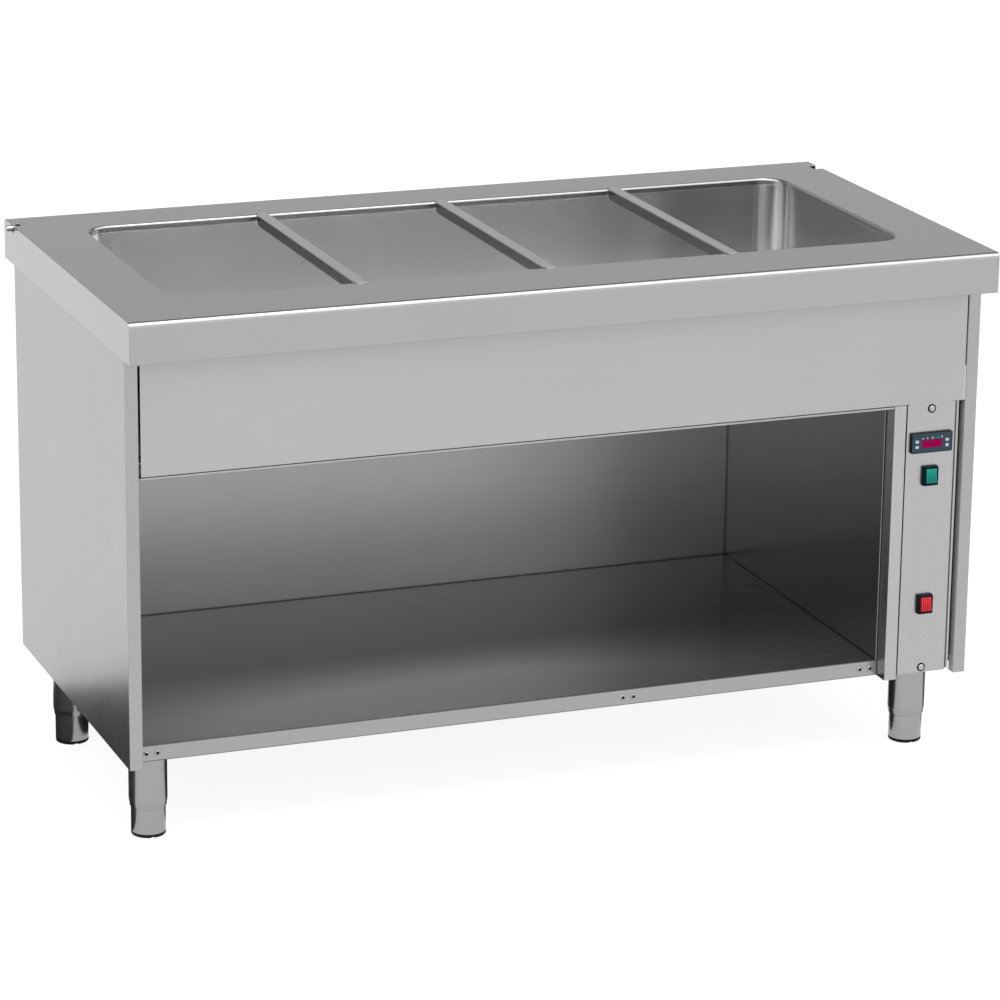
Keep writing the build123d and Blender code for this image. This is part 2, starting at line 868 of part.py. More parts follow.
# Rocker switches: a raised black surround with a ribbed rocker on pivot pins
pivot_y = body_front - pivot_gap
pocket_width = rocker_width + 2 * rocker_side_gap
pocket_height = rocker_height + 2 * rocker_end_gap
pocket_floor = body_front + rocker_back + pocket_floor_gap
for colour, switch_z in switch_levels.items():
    with BuildPart() as switch_case:
        with BuildSketch(front_plane(body_front)):
            with Locations((plate_x, switch_z)):
                RectangleRounded(switch_width, switch_height, switch_corner)
        extrude(amount=switch_depth, taper=switch_taper)
        with BuildSketch(front_plane(body_front)):
            with Locations((plate_x, switch_z)):
                Rectangle(switch_body_width, switch_body_height)
        extrude(amount=-switch_body_depth)
        with BuildSketch(front_plane(pocket_floor)):
            with Locations((plate_x, switch_z)):
                Rectangle(pocket_width, pocket_height)
        extrude(amount=pocket_floor - body_front + switch_depth, mode=Mode.SUBTRACT)
        with BuildSketch(side_plane(plate_x)):
            with Locations((pivot_y, switch_z)):
                Circle(rocker_pivot_radius + pivot_gap)
        pivot_reach = rocker_width / 2 + rocker_pivot_length + rocker_side_gap
        extrude(amount=pivot_reach, both=True, mode=Mode.SUBTRACT)
    keep(switch_case, f"{colour}_switch_case")

    out = (0, -cos(radians(rocker_tilt)), -sin(radians(rocker_tilt)))
    rib_step = rocker_width / rocker_rib_count
    strips = [(0, rocker_width, rocker_front)]
    for number in range(rocker_rib_count):
        rib_x = (number - (rocker_rib_count - 1) / 2) * rib_step
        strips.append((rib_x, rocker_rib_width, rocker_front + rocker_rib_height))
    with BuildPart() as rocker:
        for strip_x, strip_width, edge in strips:
            strip_end = (plate_x + strip_x + strip_width / 2, pivot_y, switch_z)
            with BuildSketch(Plane(origin=strip_end, x_dir=out, z_dir=(-1, 0, 0))):
                with BuildLine():
                    high_corner = (edge, rocker_height / 2)
                    low_corner = (edge, -rocker_height / 2)
                    ThreePointArc(low_corner, (edge - rocker_hollow, 0), high_corner)
                    Line(high_corner, (0, rocker_height / 2))
                    ThreePointArc((0, rocker_height / 2), (-rocker_back, 0), (0, -rocker_height / 2))
                    Line((0, -rocker_height / 2), low_corner)
                make_face()
            extrude(amount=strip_width)
        with BuildSketch(side_plane(plate_x)):
            with Locations((pivot_y, switch_z)):
                Circle(rocker_pivot_radius)
        extrude(amount=rocker_width / 2 + rocker_pivot_length, both=True)
    keep(rocker, f"{colour}_rocker")

# Mounting rail: a top-hat rail on the back of the cupboard's right wall
rail_seat = column_left - hem_width + gauge
din_back_y = din_front_y + din_length
with BuildPart() as mounting_rail:
    half = din_width / 2
    din_points = [
        (rail_seat + din_depth, din_height - half),
        (rail_seat + din_depth, din_height - half + din_flange),
        (rail_seat, din_height - half + din_flange),
        (rail_seat, din_height + half - din_flange),
        (rail_seat + din_depth, din_height + half - din_flange),
        (rail_seat + din_depth, din_height + half),
    ]
    extrude(
        folded_section(front_plane(din_back_y), din_points, din_bend, gauge, Side.RIGHT),
        amount=din_length,
    )
keep(mounting_rail, "mounting_rail")

# Contactor: a stepped block on the mounting rail
device_seat = rail_seat + din_depth + gauge
with BuildPart() as contactor:
    with BuildSketch(front_plane(din_front_y + contactor_width)):
        with Locations((device_seat + (contactor_depth - contactor_step) / 2, din_height)):
            Rectangle(contactor_depth - contactor_step, contactor_height)
        with Locations((device_seat + contactor_depth / 2, din_height)):
            Rectangle(contactor_depth, contactor_nose)
    extrude(amount=contactor_width)
keep(contactor, "contactor")

# Terminal block: a row of screw terminals beside the contactor
terminal_step = terminal_width + terminal_gap
terminal_start = din_front_y + contactor_width + terminal_step
terminal_ys = [terminal_start + n * terminal_step for n in range(terminal_count)]
with BuildPart() as terminal_block:
    for terminal_y in terminal_ys:
        with BuildSketch(front_plane(terminal_y + terminal_width)):
            with Locations((device_seat + terminal_depth / 2, din_height)):
                Rectangle(terminal_depth, terminal_height)
        extrude(amount=terminal_width)
    terminal_fronts = terminal_block.faces().sort_by(Axis.X)[-terminal_count:]
    chamfer(terminal_fronts.edges().filter_by(Axis.Y), length=terminal_chamfer)
    with BuildSketch(side_plane(device_seat + terminal_depth)):
        with Locations(*[(y + terminal_width / 2, din_height) for y in terminal_ys]):
            Circle(terminal_screw_radius)
    extrude(amount=-terminal_screw_depth, mode=Mode.SUBTRACT)
keep(terminal_block, "terminal_block")

# Cable gland: the inlet for the supply cable, clamped in the back panel
with BuildPart() as cable_gland:
    with BuildSketch(front_plane(back_outer)):
        with Locations((gland_x, gland_height)):
            RegularPolygon(gland_hex, 6)
    extrude(amount=-gland_hex_length)
    with BuildSketch(front_plane(back_outer + gland_hex_length)):
        with Locations((gland_x, gland_height)):
            Circle(gland_nose_radius)
    extrude(amount=-(gland_length - gland_hex_length))
    fillet(cable_gland.faces().sort_by(Axis.Y)[-1].edges(), radius=gland_nose_edge)
    with BuildSketch(front_plane(back_outer)):
        with Locations((gland_x, gland_height)):
            Circle(gland_thread)
    extrude(amount=gauge)
    with BuildSketch(front_plane(back_inner)):
        with Locations((gland_x, gland_height)):
            RegularPolygon(gland_hex, 6)
    extrude(amount=gland_nut)
    with BuildSketch(front_plane(back_inner - gland_nut)):
        with Locations((gland_x, gland_height)):
            Circle(gland_bore)
    extrude(amount=-(gland_length + gland_nut + gauge), mode=Mode.SUBTRACT)
keep(cable_gland, "cable_gland")

# Heating elements: two bent tubes under the tank floor, each with its ends outwards
element_z = tank_under - element_floor_gap - element_radius
element_front = well_front + element_front_inset
element_rows = [element_front + n * element_row_pitch for n in range(element_row_count)]
element_outer = well_end - element_end_inset
element_turn = element_outer - element_turn_inset
for element_name, side in (("heating_element_left", -1), ("heating_element_right", 1)):
    element_points = [(side * element_outer, element_rows[0])]
    for number, row in enumerate(element_rows):
        inward = number % 2 == 0
        reach = element_centre_gap if inward else element_turn
        last = number == len(element_rows) - 1
        element_points.append((side * (element_outer if last else reach), row))
        if not last:
            element_points.append((side * reach, element_rows[number + 1]))
    with BuildPart() as element:
        with BuildLine(Plane.XY.offset(element_z)) as element_path:
            FilletPolyline(*element_points, radius=element_bend)
        with BuildSketch(Plane(origin=element_path.line @ 0, z_dir=element_path.line % 0)):
            Circle(element_radius)
        sweep()
    keep(element, element_name)

# Element clamps: straps across the rows that hold the tubes against the tank floor
clamp_bottom = element_z - element_radius - clamp_gauge
clamp_front = element_rows[0] - clamp_overhang
clamp_back = element_rows[-1] + clamp_overhang
clamp_places = (element_centre_gap + 2 * element_bend, element_turn - 2 * element_bend)
clamp_xs = [side * place for side in (-1, 1) for place in clamp_places]
with BuildPart() as element_clamps:
    for clamp_x in clamp_xs:
        clamp_points = [
            (clamp_front, tank_under),
            (clamp_front, clamp_bottom),
            (clamp_back, clamp_bottom),
            (clamp_back, tank_under),
        ]
        extrude(
            folded_section(side_plane(clamp_x - clamp_width / 2), clamp_points, clamp_bend, clamp_gauge),
            amount=clamp_width,
        )
keep(element_clamps, "element_clamps")

# Insulation: a jacket round the tank walls and a board on the ceiling panel
probe_x = tank_end + jacket_gap + probe_radius
with BuildPart() as tank_insulation:
    jacket_bottom = tank_under + tank_foot_radius + jacket_foot
    jacket_plane = Plane.XY.offset(jacket_bottom)
    jacket_height = height - jacket_top_drop - jacket_bottom
    extrude(well_outline(jacket_plane, tank_grow + jacket_gap + jacket_thickness), amount=jacket_height)
    extrude(
        well_outline(jacket_plane, tank_grow + jacket_gap),
        amount=jacket_height,
        mode=Mode.SUBTRACT,
    )
    with BuildSketch(side_plane(tank_end)):
        with Locations((well_y, probe_height)):
            Rectangle(probe_length + 2 * probe_room, 2 * (probe_radius + probe_clip_foot + probe_room))
    extrude(amount=2 * jacket_thickness, mode=Mode.SUBTRACT)
    board_left = ceiling_left + board_edge
    board_right = ceiling_right - board_edge
    board_front = lip_front + board_edge
    board_back = back_inner - board_edge
    with BuildSketch(Plane.XY.offset(rail_top + gauge)):
        with Locations(((board_left + board_right) / 2, (board_front + board_back) / 2)):
            Rectangle(board_right - board_left, board_back - board_front)
        with Locations((drain_x, drain_y)):
            Circle(drain_tail_radius + drain_room, mode=Mode.SUBTRACT)
    extrude(amount=board_thickness)
keep(tank_insulation, "tank_insulation")

# Thermostat probe: a bulb along the tank's right end wall
with BuildPart() as thermostat_probe:
    with BuildSketch(front_plane(well_y + probe_length / 2)):
        with Locations((probe_x, probe_height)):
            Circle(probe_radius)
    extrude(amount=probe_length)
    fillet(thermostat_probe.edges().filter_by(GeomType.CIRCLE), radius=probe_nose)
keep(thermostat_probe, "thermostat_probe")

# Probe clip: a folded strap that holds the bulb against the wall
with BuildPart() as probe_clip:
    clip_half = probe_radius + probe_clip_room
    clip_top = probe_x + probe_radius + probe_clip_room
    clip_points = [
        (tank_end + gauge, probe_height - clip_half - probe_clip_foot),
        (tank_end + gauge, probe_height - clip_half - gauge),
        (clip_top + gauge, probe_height - clip_half - gauge),
        (clip_top + gauge, probe_height + clip_half + gauge),
        (tank_end + gauge, probe_height + clip_half + gauge),
        (tank_end + gauge, probe_height + clip_half + probe_clip_foot),
    ]
    extrude(
        folded_section(front_plane(well_y + probe_clip_width / 2), clip_points, probe_clip_bend, gauge),
        amount=probe_clip_width,
    )
keep(probe_clip, "probe_clip")

# Drain fitting: a flanged tube through the tank floor
tail_bottom = tank_floor - drain_tail_length
with BuildPart() as drain_fitting:
    with BuildSketch(Plane.XY.offset(tank_floor)):
        with Locations((drain_x, drain_y)):
            Circle(drain_flange_radius)
    extrude(amount=drain_flange_height)
    with BuildSketch(Plane.XY.offset(tank_floor)):
        with Locations((drain_x, drain_y)):
            Circle(drain_tail_radius)
    extrude(amount=-drain_tail_length)
    with BuildSketch(Plane.XY.offset(tail_bottom)):
        with Locations((drain_x, drain_y)):
            Circle(drain_bore)
    extrude(amount=drain_tail_length + drain_flange_height, mode=Mode.SUBTRACT)
keep(drain_fitting, "drain_fitting")

# Drain valve: a ball valve body screwed on the tail, with a boss for the spindle in front
valve_top = tail_bottom + valve_socket
valve_z = valve_top - valve_length / 2
valve_bottom = valve_top - valve_length
outlet_bottom = valve_bottom - valve_outlet_length
with BuildPart() as drain_valve:
    with BuildSketch(Plane.XY.offset(valve_bottom)):
        with Locations((drain_x, drain_y)):
            RegularPolygon(valve_end_radius, 8)
    extrude(amount=valve_length)
    with Locations((drain_x, drain_y, valve_z)):
        Sphere(valve_body_radius)
    with BuildSketch(front_plane(drain_y)):
        with Locations((drain_x, valve_z)):
            Circle(boss_radius)
    extrude(amount=boss_reach)
    with BuildSketch(Plane.XY.offset(valve_bottom)):
        with Locations((drain_x, drain_y)):
            Circle(drain_tail_radius)
    extrude(amount=-valve_outlet_length)
    chamfer(
        drain_valve.edges().filter_by(GeomType.CIRCLE).sort_by(Axis.Z)[0],
        length=valve_outlet_chamfer,
    )
    with BuildSketch(Plane.XY.offset(outlet_bottom)):
        with Locations((drain_x, drain_y)):
            Circle(drain_bore)
    extrude(amount=valve_top - outlet_bottom, mode=Mode.SUBTRACT)
    with BuildSketch(Plane.XY.offset(tail_bottom)):
        with Locations((drain_x, drain_y)):
            Circle(drain_tail_radius + hole_gap)
    extrude(amount=valve_socket, mode=Mode.SUBTRACT)
    with Locations((drain_x, drain_y, valve_z)):
        Sphere(ball_radius + ball_gap, mode=Mode.SUBTRACT)
    with BuildSketch(front_plane(drain_y)):
        with Locations((drain_x, valve_z)):
            Circle(spindle_radius + spindle_gap)
    extrude(amount=boss_reach, mode=Mode.SUBTRACT)
keep(drain_valve, "drain_valve")

# Valve ball: bored through, with a slot for the spindle; it stands closed
with BuildPart() as valve_ball:
    with Locations((drain_x, drain_y, valve_z)):
        Sphere(ball_radius)
    with BuildSketch(side_plane(drain_x)):
        with Locations((drain_y, valve_z)):
            Circle(drain_bore)
    extrude(amount=ball_radius, both=True, mode=Mode.SUBTRACT)
    with BuildSketch(front_plane(drain_y - ball_radius + ball_slot_depth)):
        with Locations((drain_x, valve_z)):
            Rectangle(ball_slot_width, 2 * ball_radius)
    extrude(amount=ball_slot_depth, mode=Mode.SUBTRACT)
keep(valve_ball, "valve_ball")

# Drain lever: a spindle with a cranked flat handle, across the pipe when it is closed
spindle_end = drain_y - ball_radius + ball_slot_depth - ball_gap
lever_seat = drain_y - boss_reach - ball_gap
with BuildPart() as drain_lever:
    with BuildSketch(front_plane(drain_y - ball_radius - ball_gap)):
        with Locations((drain_x, valve_z)):
            Circle(spindle_radius)
    extrude(amount=boss_reach - ball_radius + ball_gap + lever_gauge)
    with BuildSketch(front_plane(spindle_end)):
        with Locations((drain_x, valve_z)):
            Rectangle(spindle_tang, spindle_tang_height)
    extrude(amount=ball_slot_depth + ball_gap)
    with BuildSketch(front_plane(lever_seat)):
        with Locations((drain_x, valve_z)):
            Circle(lever_hub_radius)
    extrude(amount=lever_gauge)
    lever_points = [
        (drain_x, lever_seat - lever_gauge),
        (drain_x + lever_crank, lever_seat - lever_gauge),
        (drain_x + lever_crank + lever_lift, lever_seat - lever_gauge - lever_lift),
        (drain_x + lever_length, lever_seat - lever_gauge - lever_lift),
    ]
    extrude(
        folded_section(
            Plane.XY.offset(valve_z - lever_width / 2), lever_points, lever_bend, lever_gauge
        ),
        amount=lever_width,
    )
    fillet(
        drain_lever.edges().filter_by(Axis.Y).sort_by(Axis.X)[-2:],
        radius=lever_tip,
    )
keep(drain_lever, "drain_lever")

# Legs: a flanged tube with a necked end and a nut plate inside for the foot's stem
leg_top = shelf_under - base_rail_gauge
leg_places = {
    f"{end}_{side_name}": (side * base_rail_x, leg_y)
    for end, leg_y in leg_ys.items()
    for side_name, side in (("left", -1), ("right", 1))
}
for leg_name, (leg_x, leg_y) in leg_places.items():
    with BuildPart() as leg:
        with BuildSketch(Plane.XY.offset(leg_top - leg_plate)):
            with Locations((leg_x, leg_y)):
                Rectangle(base_rail_width - 2 * (base_rail_gauge + leg_plate_gap), leg_plate_length)
        extrude(amount=leg_plate)
        with BuildSketch(Plane(origin=(leg_x, leg_y, 0), x_dir=(1, 0, 0), z_dir=(0, -1, 0))):
            with BuildLine():
                Polyline(
                    (leg_radius, leg_top - leg_plate),
                    (leg_radius, leg_taper_top),
                    (leg_neck_radius, leg_taper_bottom),
                    (leg_neck_radius, leg_end),
                    (leg_neck_radius - leg_wall, leg_end),
                    (leg_neck_radius - leg_wall, leg_taper_bottom),
                    (leg_radius - leg_wall, leg_taper_top),
                    (leg_radius - leg_wall, leg_top - leg_plate),
                    close=True,
                )
            make_face()
            nut_bore = stem_radius + stem_gap
            nut_outer = leg_radius - leg_wall / 2
            with Locations(((nut_bore + nut_outer) / 2, nut_height + nut_thickness / 2)):
                Rectangle(nut_outer - nut_bore, nut_thickness)
        revolve(axis=Axis((leg_x, leg_y, 0), (0, 0, 1)))
    keep(leg, f"leg_{leg_name}")

    # Foot: the lower tube on its threaded stem, rounded at its lower edge
    with BuildPart() as foot:
        with BuildSketch(Plane(origin=(leg_x, leg_y, 0), x_dir=(1, 0, 0), z_dir=(0, -1, 0))):
            with BuildLine():
                Polyline(
                    (0, foot_top + stem_length),
                    (stem_radius, foot_top + stem_length),
                    (stem_radius, foot_top),
                    (foot_radius, foot_top),
                    (foot_radius, sole_height),
                    (foot_radius - foot_wall, sole_height),
                    (foot_radius - foot_wall, foot_top - foot_cap),
                    (0, foot_top - foot_cap),
                    close=True,
                )
            make_face()
        revolve(axis=Axis((leg_x, leg_y, 0), (0, 0, 1)))
        foot_rims = foot.edges().filter_by(GeomType.CIRCLE).group_by(Axis.Z)[0]
        fillet(foot_rims.sort_by(SortBy.RADIUS)[-1], radius=foot_edge)
    keep(foot, f"foot_{leg_name}")

    # Sole: a plastic cap pressed into the foot, with two notches for a spanner
    with BuildPart() as sole:
        with BuildSketch(Plane.XY):
            with Locations((leg_x, leg_y)):
                Circle(foot_radius)
        extrude(amount=sole_height)
        fillet(sole.faces().sort_by(Axis.Z)[0].edges(), radius=sole_edge)
        with BuildSketch(Plane.XY.offset(sole_height)):
            with Locations((leg_x, leg_y)):
                Circle(foot_radius - foot_wall - sole_spigot_gap)
        extrude(amount=sole_spigot)
        with BuildSketch(Plane.XY):
            for notch_side in (-1, 1):
                with Locations((leg_x, leg_y + notch_side * (foot_radius - sole_notch_depth / 2))):
                    Rectangle(sole_notch_width, sole_notch_depth)
        extrude(amount=sole_notch_height, mode=Mode.SUBTRACT)
    keep(sole, f"sole_{leg_name}")
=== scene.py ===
# %% [markdown]
# A stainless bain marie counter
# The counter's sheets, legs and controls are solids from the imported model, and this lesson gives
# them their looks: satin steel with its grain, moulded plastic, lit lenses, a studio and a camera.
# The model is loaded first and never moved, so every later piece can be placed by its numbers.

# %% Load the frame
import json
from math import cos, pi, radians, sin

import bmesh
import bpy
from mathutils import Matrix, Vector


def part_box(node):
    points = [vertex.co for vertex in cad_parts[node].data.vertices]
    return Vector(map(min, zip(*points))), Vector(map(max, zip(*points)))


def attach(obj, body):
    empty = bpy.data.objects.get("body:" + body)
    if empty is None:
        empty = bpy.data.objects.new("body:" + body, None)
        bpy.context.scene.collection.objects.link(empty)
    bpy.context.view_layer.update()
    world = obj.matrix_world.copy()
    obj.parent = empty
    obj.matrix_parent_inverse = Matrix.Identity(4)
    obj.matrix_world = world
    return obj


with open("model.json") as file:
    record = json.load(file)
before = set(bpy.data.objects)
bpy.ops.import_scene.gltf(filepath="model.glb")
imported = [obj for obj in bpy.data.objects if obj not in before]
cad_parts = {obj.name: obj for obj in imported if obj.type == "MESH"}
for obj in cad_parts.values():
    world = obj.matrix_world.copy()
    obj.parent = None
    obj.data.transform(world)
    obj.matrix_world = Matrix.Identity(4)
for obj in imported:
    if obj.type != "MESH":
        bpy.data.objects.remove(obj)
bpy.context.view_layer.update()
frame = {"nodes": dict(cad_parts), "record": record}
nodes = frame["nodes"]
scene = bpy.context.scene

# %% [markdown]
# The camera
# The picture was taken from the front left, a little above the worktop, with a long lens: the
# counter's long edges hardly converge. The direction is given by a turn to the side, a tilt down
# and a very small roll, and the matrix is put together from the three directions of the view, which
# keeps the numbers readable. A lens of 150 mm on a 36 mm sensor gives the narrow angle.

# %% Place the camera
view_turn, view_tilt, view_roll = radians(21.161), radians(16.800), radians(0.680)
view_place = Vector((-2.4622, -6.3921, 2.5038))
forward = Vector((sin(view_turn) * cos(view_tilt), cos(view_turn) * cos(view_tilt), -sin(view_tilt)))
level_right = Vector((cos(view_turn), -sin(view_turn), 0.0))
level_up = level_right.cross(forward)
right = level_right * cos(view_roll) + level_up * sin(view_roll)
up = level_up * cos(view_roll) - level_right * sin(view_roll)

camera_data = bpy.data.cameras.new("counter_camera")
camera_data.sensor_width = 36.0
camera_data.lens = 150.47
camera_data.clip_end = 60.0
camera = bpy.data.objects.new("counter_camera", camera_data)
turn = Matrix((right, up, -forward)).transposed()
camera.matrix_world = Matrix.Translation(view_place) @ turn.to_4x4()
scene.collection.objects.link(camera)
scene.camera = camera
print("camera at", [round(v, 3) for v in camera.location], "lens", camera_data.lens)

# %% [markdown]
# The floor
# The counter stands on a seamless white studio floor. A large grid with a pale, rough paint would
# do, but a floor that is only lit turns grey away from the lamps, so this one also glows a little.
# That is what the front of the steel mirrors, and it sets how light the fascia looks.

# %% Lay the floor
floor_mesh = bpy.data.meshes.new("studio_floor")
floor_shape = bmesh.new()
bmesh.ops.create_grid(floor_shape, x_segments=8, y_segments=8, size=20.0)
floor_shape.to_mesh(floor_mesh)
floor_shape.free()
floor = bpy.data.objects.new("studio_floor", floor_mesh)
scene.collection.objects.link(floor)

floor_paint = bpy.data.materials.new("pale_floor")
floor_paint.use_nodes = True
floor_shader = floor_paint.node_tree.nodes["Principled BSDF"]
floor_shader.inputs["Base Color"].default_value = (0.12, 0.12, 0.12, 1.0)
floor_shader.inputs["Roughness"].default_value = 0.8
floor_shader.inputs["Emission Color"].default_value = (1.0, 1.0, 1.0, 1.0)
floor_shader.inputs["Emission Strength"].default_value = 0.9
floor_mesh.materials.append(floor_paint)
print("floor", floor.dimensions[:])

# %% [markdown]
# The light
# Steel shows what is around it, so the studio is half of the material. One bright sky would turn
# every face white. Here the sky's brightness is given by the turn from the back wall, over the top,
# to the front: dim behind, which the level worktop mirrors, bright from straight above towards the
# front, which the rounded front edge gathers into a white line, and dim again low in front, so the
# worktop stays grey from behind. Two large soft lights add shape, and dark cards on the floor, seen
# only in the steel, give the legs their dark edges.

# %% Turn the sky from dim to bright
scene.view_settings.view_transform = "Standard"
sky = bpy.data.worlds.new("studio_sky")
scene.world = sky
sky.use_nodes = True
sky_nodes, sky_links = sky.node_tree.nodes, sky.node_tree.links
sky_place = sky_nodes.new("ShaderNodeTexCoord")
sky_split = sky_nodes.new("ShaderNodeSeparateXYZ")
sky_turn = sky_nodes.new("ShaderNodeMath")
sky_turn.operation = "ARCTAN2"
sky_degrees = sky_nodes.new("ShaderNodeMath")
sky_degrees.operation = "DEGREES"
sky_part = sky_nodes.new("ShaderNodeMapRange")
sky_part.inputs["From Max"].default_value = 180.0
sky_ramp = sky_nodes.new("ShaderNodeValToRGB")
sky_links.new(sky_place.outputs["Generated"], sky_split.inputs[0])
sky_links.new(sky_split.outputs["Z"], sky_turn.inputs[0])
sky_links.new(sky_split.outputs["Y"], sky_turn.inputs[1])
sky_links.new(sky_turn.outputs["Value"], sky_degrees.inputs[0])
sky_links.new(sky_degrees.outputs["Value"], sky_part.inputs["Value"])
sky_links.new(sky_part.outputs["Result"], sky_ramp.inputs["Fac"])
sky_links.new(sky_ramp.outputs["Color"], sky_nodes["Background"].inputs["Color"])
SKY_BY_TURN = (
    (0, 0.24),
    (25, 0.22),
    (36, 0.09),
    (78, 0.10),
    (88, 0.90),
    (100, 1.00),
    (146, 1.00),
    (156, 0.42),
    (167, 0.26),
    (180, 0.22),
)
for degrees_over, bright in SKY_BY_TURN:
    stop = sky_ramp.color_ramp.elements.new(degrees_over / 180.0)
    stop.color = (bright, bright, bright, 1.0)
sky_ramp.color_ramp.elements.remove(sky_ramp.color_ramp.elements[0])
sky_ramp.color_ramp.elements.remove(sky_ramp.color_ramp.elements[-1])
sky_nodes["Background"].inputs["Strength"].default_value = 2.8
print("sky stops:", len(sky_ramp.color_ramp.elements))


# %% Hang the soft lights
def soft_light(name, place, aim, size, power):
    """A square soft light at a place, turned to its aim."""
    data = bpy.data.lights.new(name, "AREA")
    data.shape = "SQUARE"
    data.size = size
    data.energy = power
    light = bpy.data.objects.new(name, data)
    light.location = place
    light.rotation_euler = (Vector(aim) - Vector(place)).to_track_quat("-Z", "Y").to_euler()
    scene.collection.objects.link(light)
    return light


lights = [
    soft_light("key_light", (-2.6, -4.6, 5.2), (0.0, 0.0, 0.5), 4.0, 60.0),
    soft_light("top_light", (0.3, -1.2, 5.4), (0.0, 0.0, 0.9), 3.0, 60.0),
]
print("lights:", [light.name for light in lights])

# %% Lay the dark cards
card_paint = bpy.data.materials.new("dark_card")
card_paint.use_nodes = True
card_shader = card_paint.node_tree.nodes["Principled BSDF"]
card_shader.inputs["Base Color"].default_value = (0.02, 0.02, 0.02, 1.0)
card_shader.inputs["Roughness"].default_value = 0.9


def dark_card(name, low, high):
    """A dark sheet, flat or upright between two corners, that only shows in the steel."""
    mesh = bpy.data.meshes.new(name)
    corners = [low, (high[0], *low[1:]), high, (low[0], *high[1:])]
    mesh.from_pydata(corners, [], [(0, 1, 2, 3)])
    mesh.materials.append(card_paint)
    card = bpy.data.objects.new(name, mesh)
    card.visible_camera = False
    card.visible_diffuse = False
    card.visible_shadow = False
    scene.collection.objects.link(card)
    return card


cards = [
    dark_card("dark_card_left", (-1.3, -0.22, 0.001), (-0.70, 0.5, 0.001)),
    dark_card("dark_card_under", (-0.63, -0.20, 0.001), (0.63, 0.5, 0.001)),
    dark_card("dark_card_right", (0.71, -0.20, 0.001), (1.3, 0.5, 0.001)),
]
print("cards:", [card.name for card in cards])

# %% [markdown]
# Tools for finishes
# Every finish below is a small web of nodes, so the steps that come back are written once: an empty
# material for a slot, noise that is stretched along an axis, a value laid between two numbers, and
# one sum. All noise is read in the counter's own metres, so a scratch has the same size on a wide
# sheet and on a screw, and no piece needs unwrapping.


# %% Make the tools
COMMON_NOISE = (0.3, 0.7)


def finish_of(slot):
    """The material of a slot, emptied, with a fresh shader."""
    material = bpy.data.materials.get(slot) or bpy.data.materials.new(slot)
    material.use_nodes = True
    tree = material.node_tree
    tree.nodes.clear()
    shader = tree.nodes.new("ShaderNodeBsdfPrincipled")
    output = tree.nodes.new("ShaderNodeOutputMaterial")
    tree.links.new(shader.outputs["BSDF"], output.inputs["Surface"])
    return material, tree, shader


def reckon(tree, operation, *values):
    """One sum on values, each a socket or a plain number."""
    node = tree.nodes.new("ShaderNodeMath")
    node.operation = operation
    for socket, value in zip(node.inputs, values):
        if isinstance(value, (int, float)):
            socket.default_value = value
        else:
            tree.links.new(value, socket)
    return node.outputs["Value"]


def laid(tree, value, old_low, old_high, low, high):
    """A value that runs between two numbers laid between two others."""
    node = tree.nodes.new("ShaderNodeMapRange")
    for socket, number in zip(list(node.inputs)[1:5], (old_low, old_high, low, high)):
        socket.default_value = number
    tree.links.new(value, node.inputs["Value"])
    return node.outputs["Result"]


def ranged(tree, noise, low, high):
    """A noise, whose middle part is the common one, laid between two numbers."""
    return laid(tree, noise, *COMMON_NOISE, low, high)


def place_parts(tree):
    """The counter's own coordinates as X, Y and Z."""
    place = tree.nodes.new("ShaderNodeTexCoord")
    split = tree.nodes.new("ShaderNodeSeparateXYZ")
    tree.links.new(place.outputs["Object"], split.inputs[0])
    return split.outputs


def stretched_noise(tree, stretch, detail=2.0):
    """Noise in the counter's own metres, with a number of features per metre along each axis."""
    place = tree.nodes.new("ShaderNodeTexCoord")
    mapping = tree.nodes.new("ShaderNodeMapping")
    mapping.inputs["Scale"].default_value = stretch
    noise = tree.nodes.new("ShaderNodeTexNoise")
    noise.inputs["Scale"].default_value = 1.0
    noise.inputs["Detail"].default_value = detail
    tree.links.new(place.outputs["Object"], mapping.inputs["Vector"])
    tree.links.new(mapping.outputs["Vector"], noise.inputs["Vector"])
    return noise.outputs["Fac"]


def tinted(tree, shader, colour, shade):
    """Gives the shader a colour that is made lighter and darker by a shade."""
    tint = tree.nodes.new("ShaderNodeVectorMath")
    tint.operation = "SCALE"
    tint.inputs[0].default_value = colour
    tree.links.new(shade, tint.inputs["Scale"])
    tree.links.new(tint.outputs["Vector"], shader.inputs["Base Color"])
    return tint


def raised(tree, shader, height, strength, distance, normal=None):
    """Gives the shader a fine relief."""
    relief = tree.nodes.new("ShaderNodeBump")
    relief.inputs["Strength"].default_value = strength
    relief.inputs["Distance"].default_value = distance
    tree.links.new(height, relief.inputs["Height"])
    if normal is not None:
        tree.links.new(normal, relief.inputs["Normal"])
    tree.links.new(relief.outputs["Normal"], shader.inputs["Normal"])


print("tools for finishes are ready")
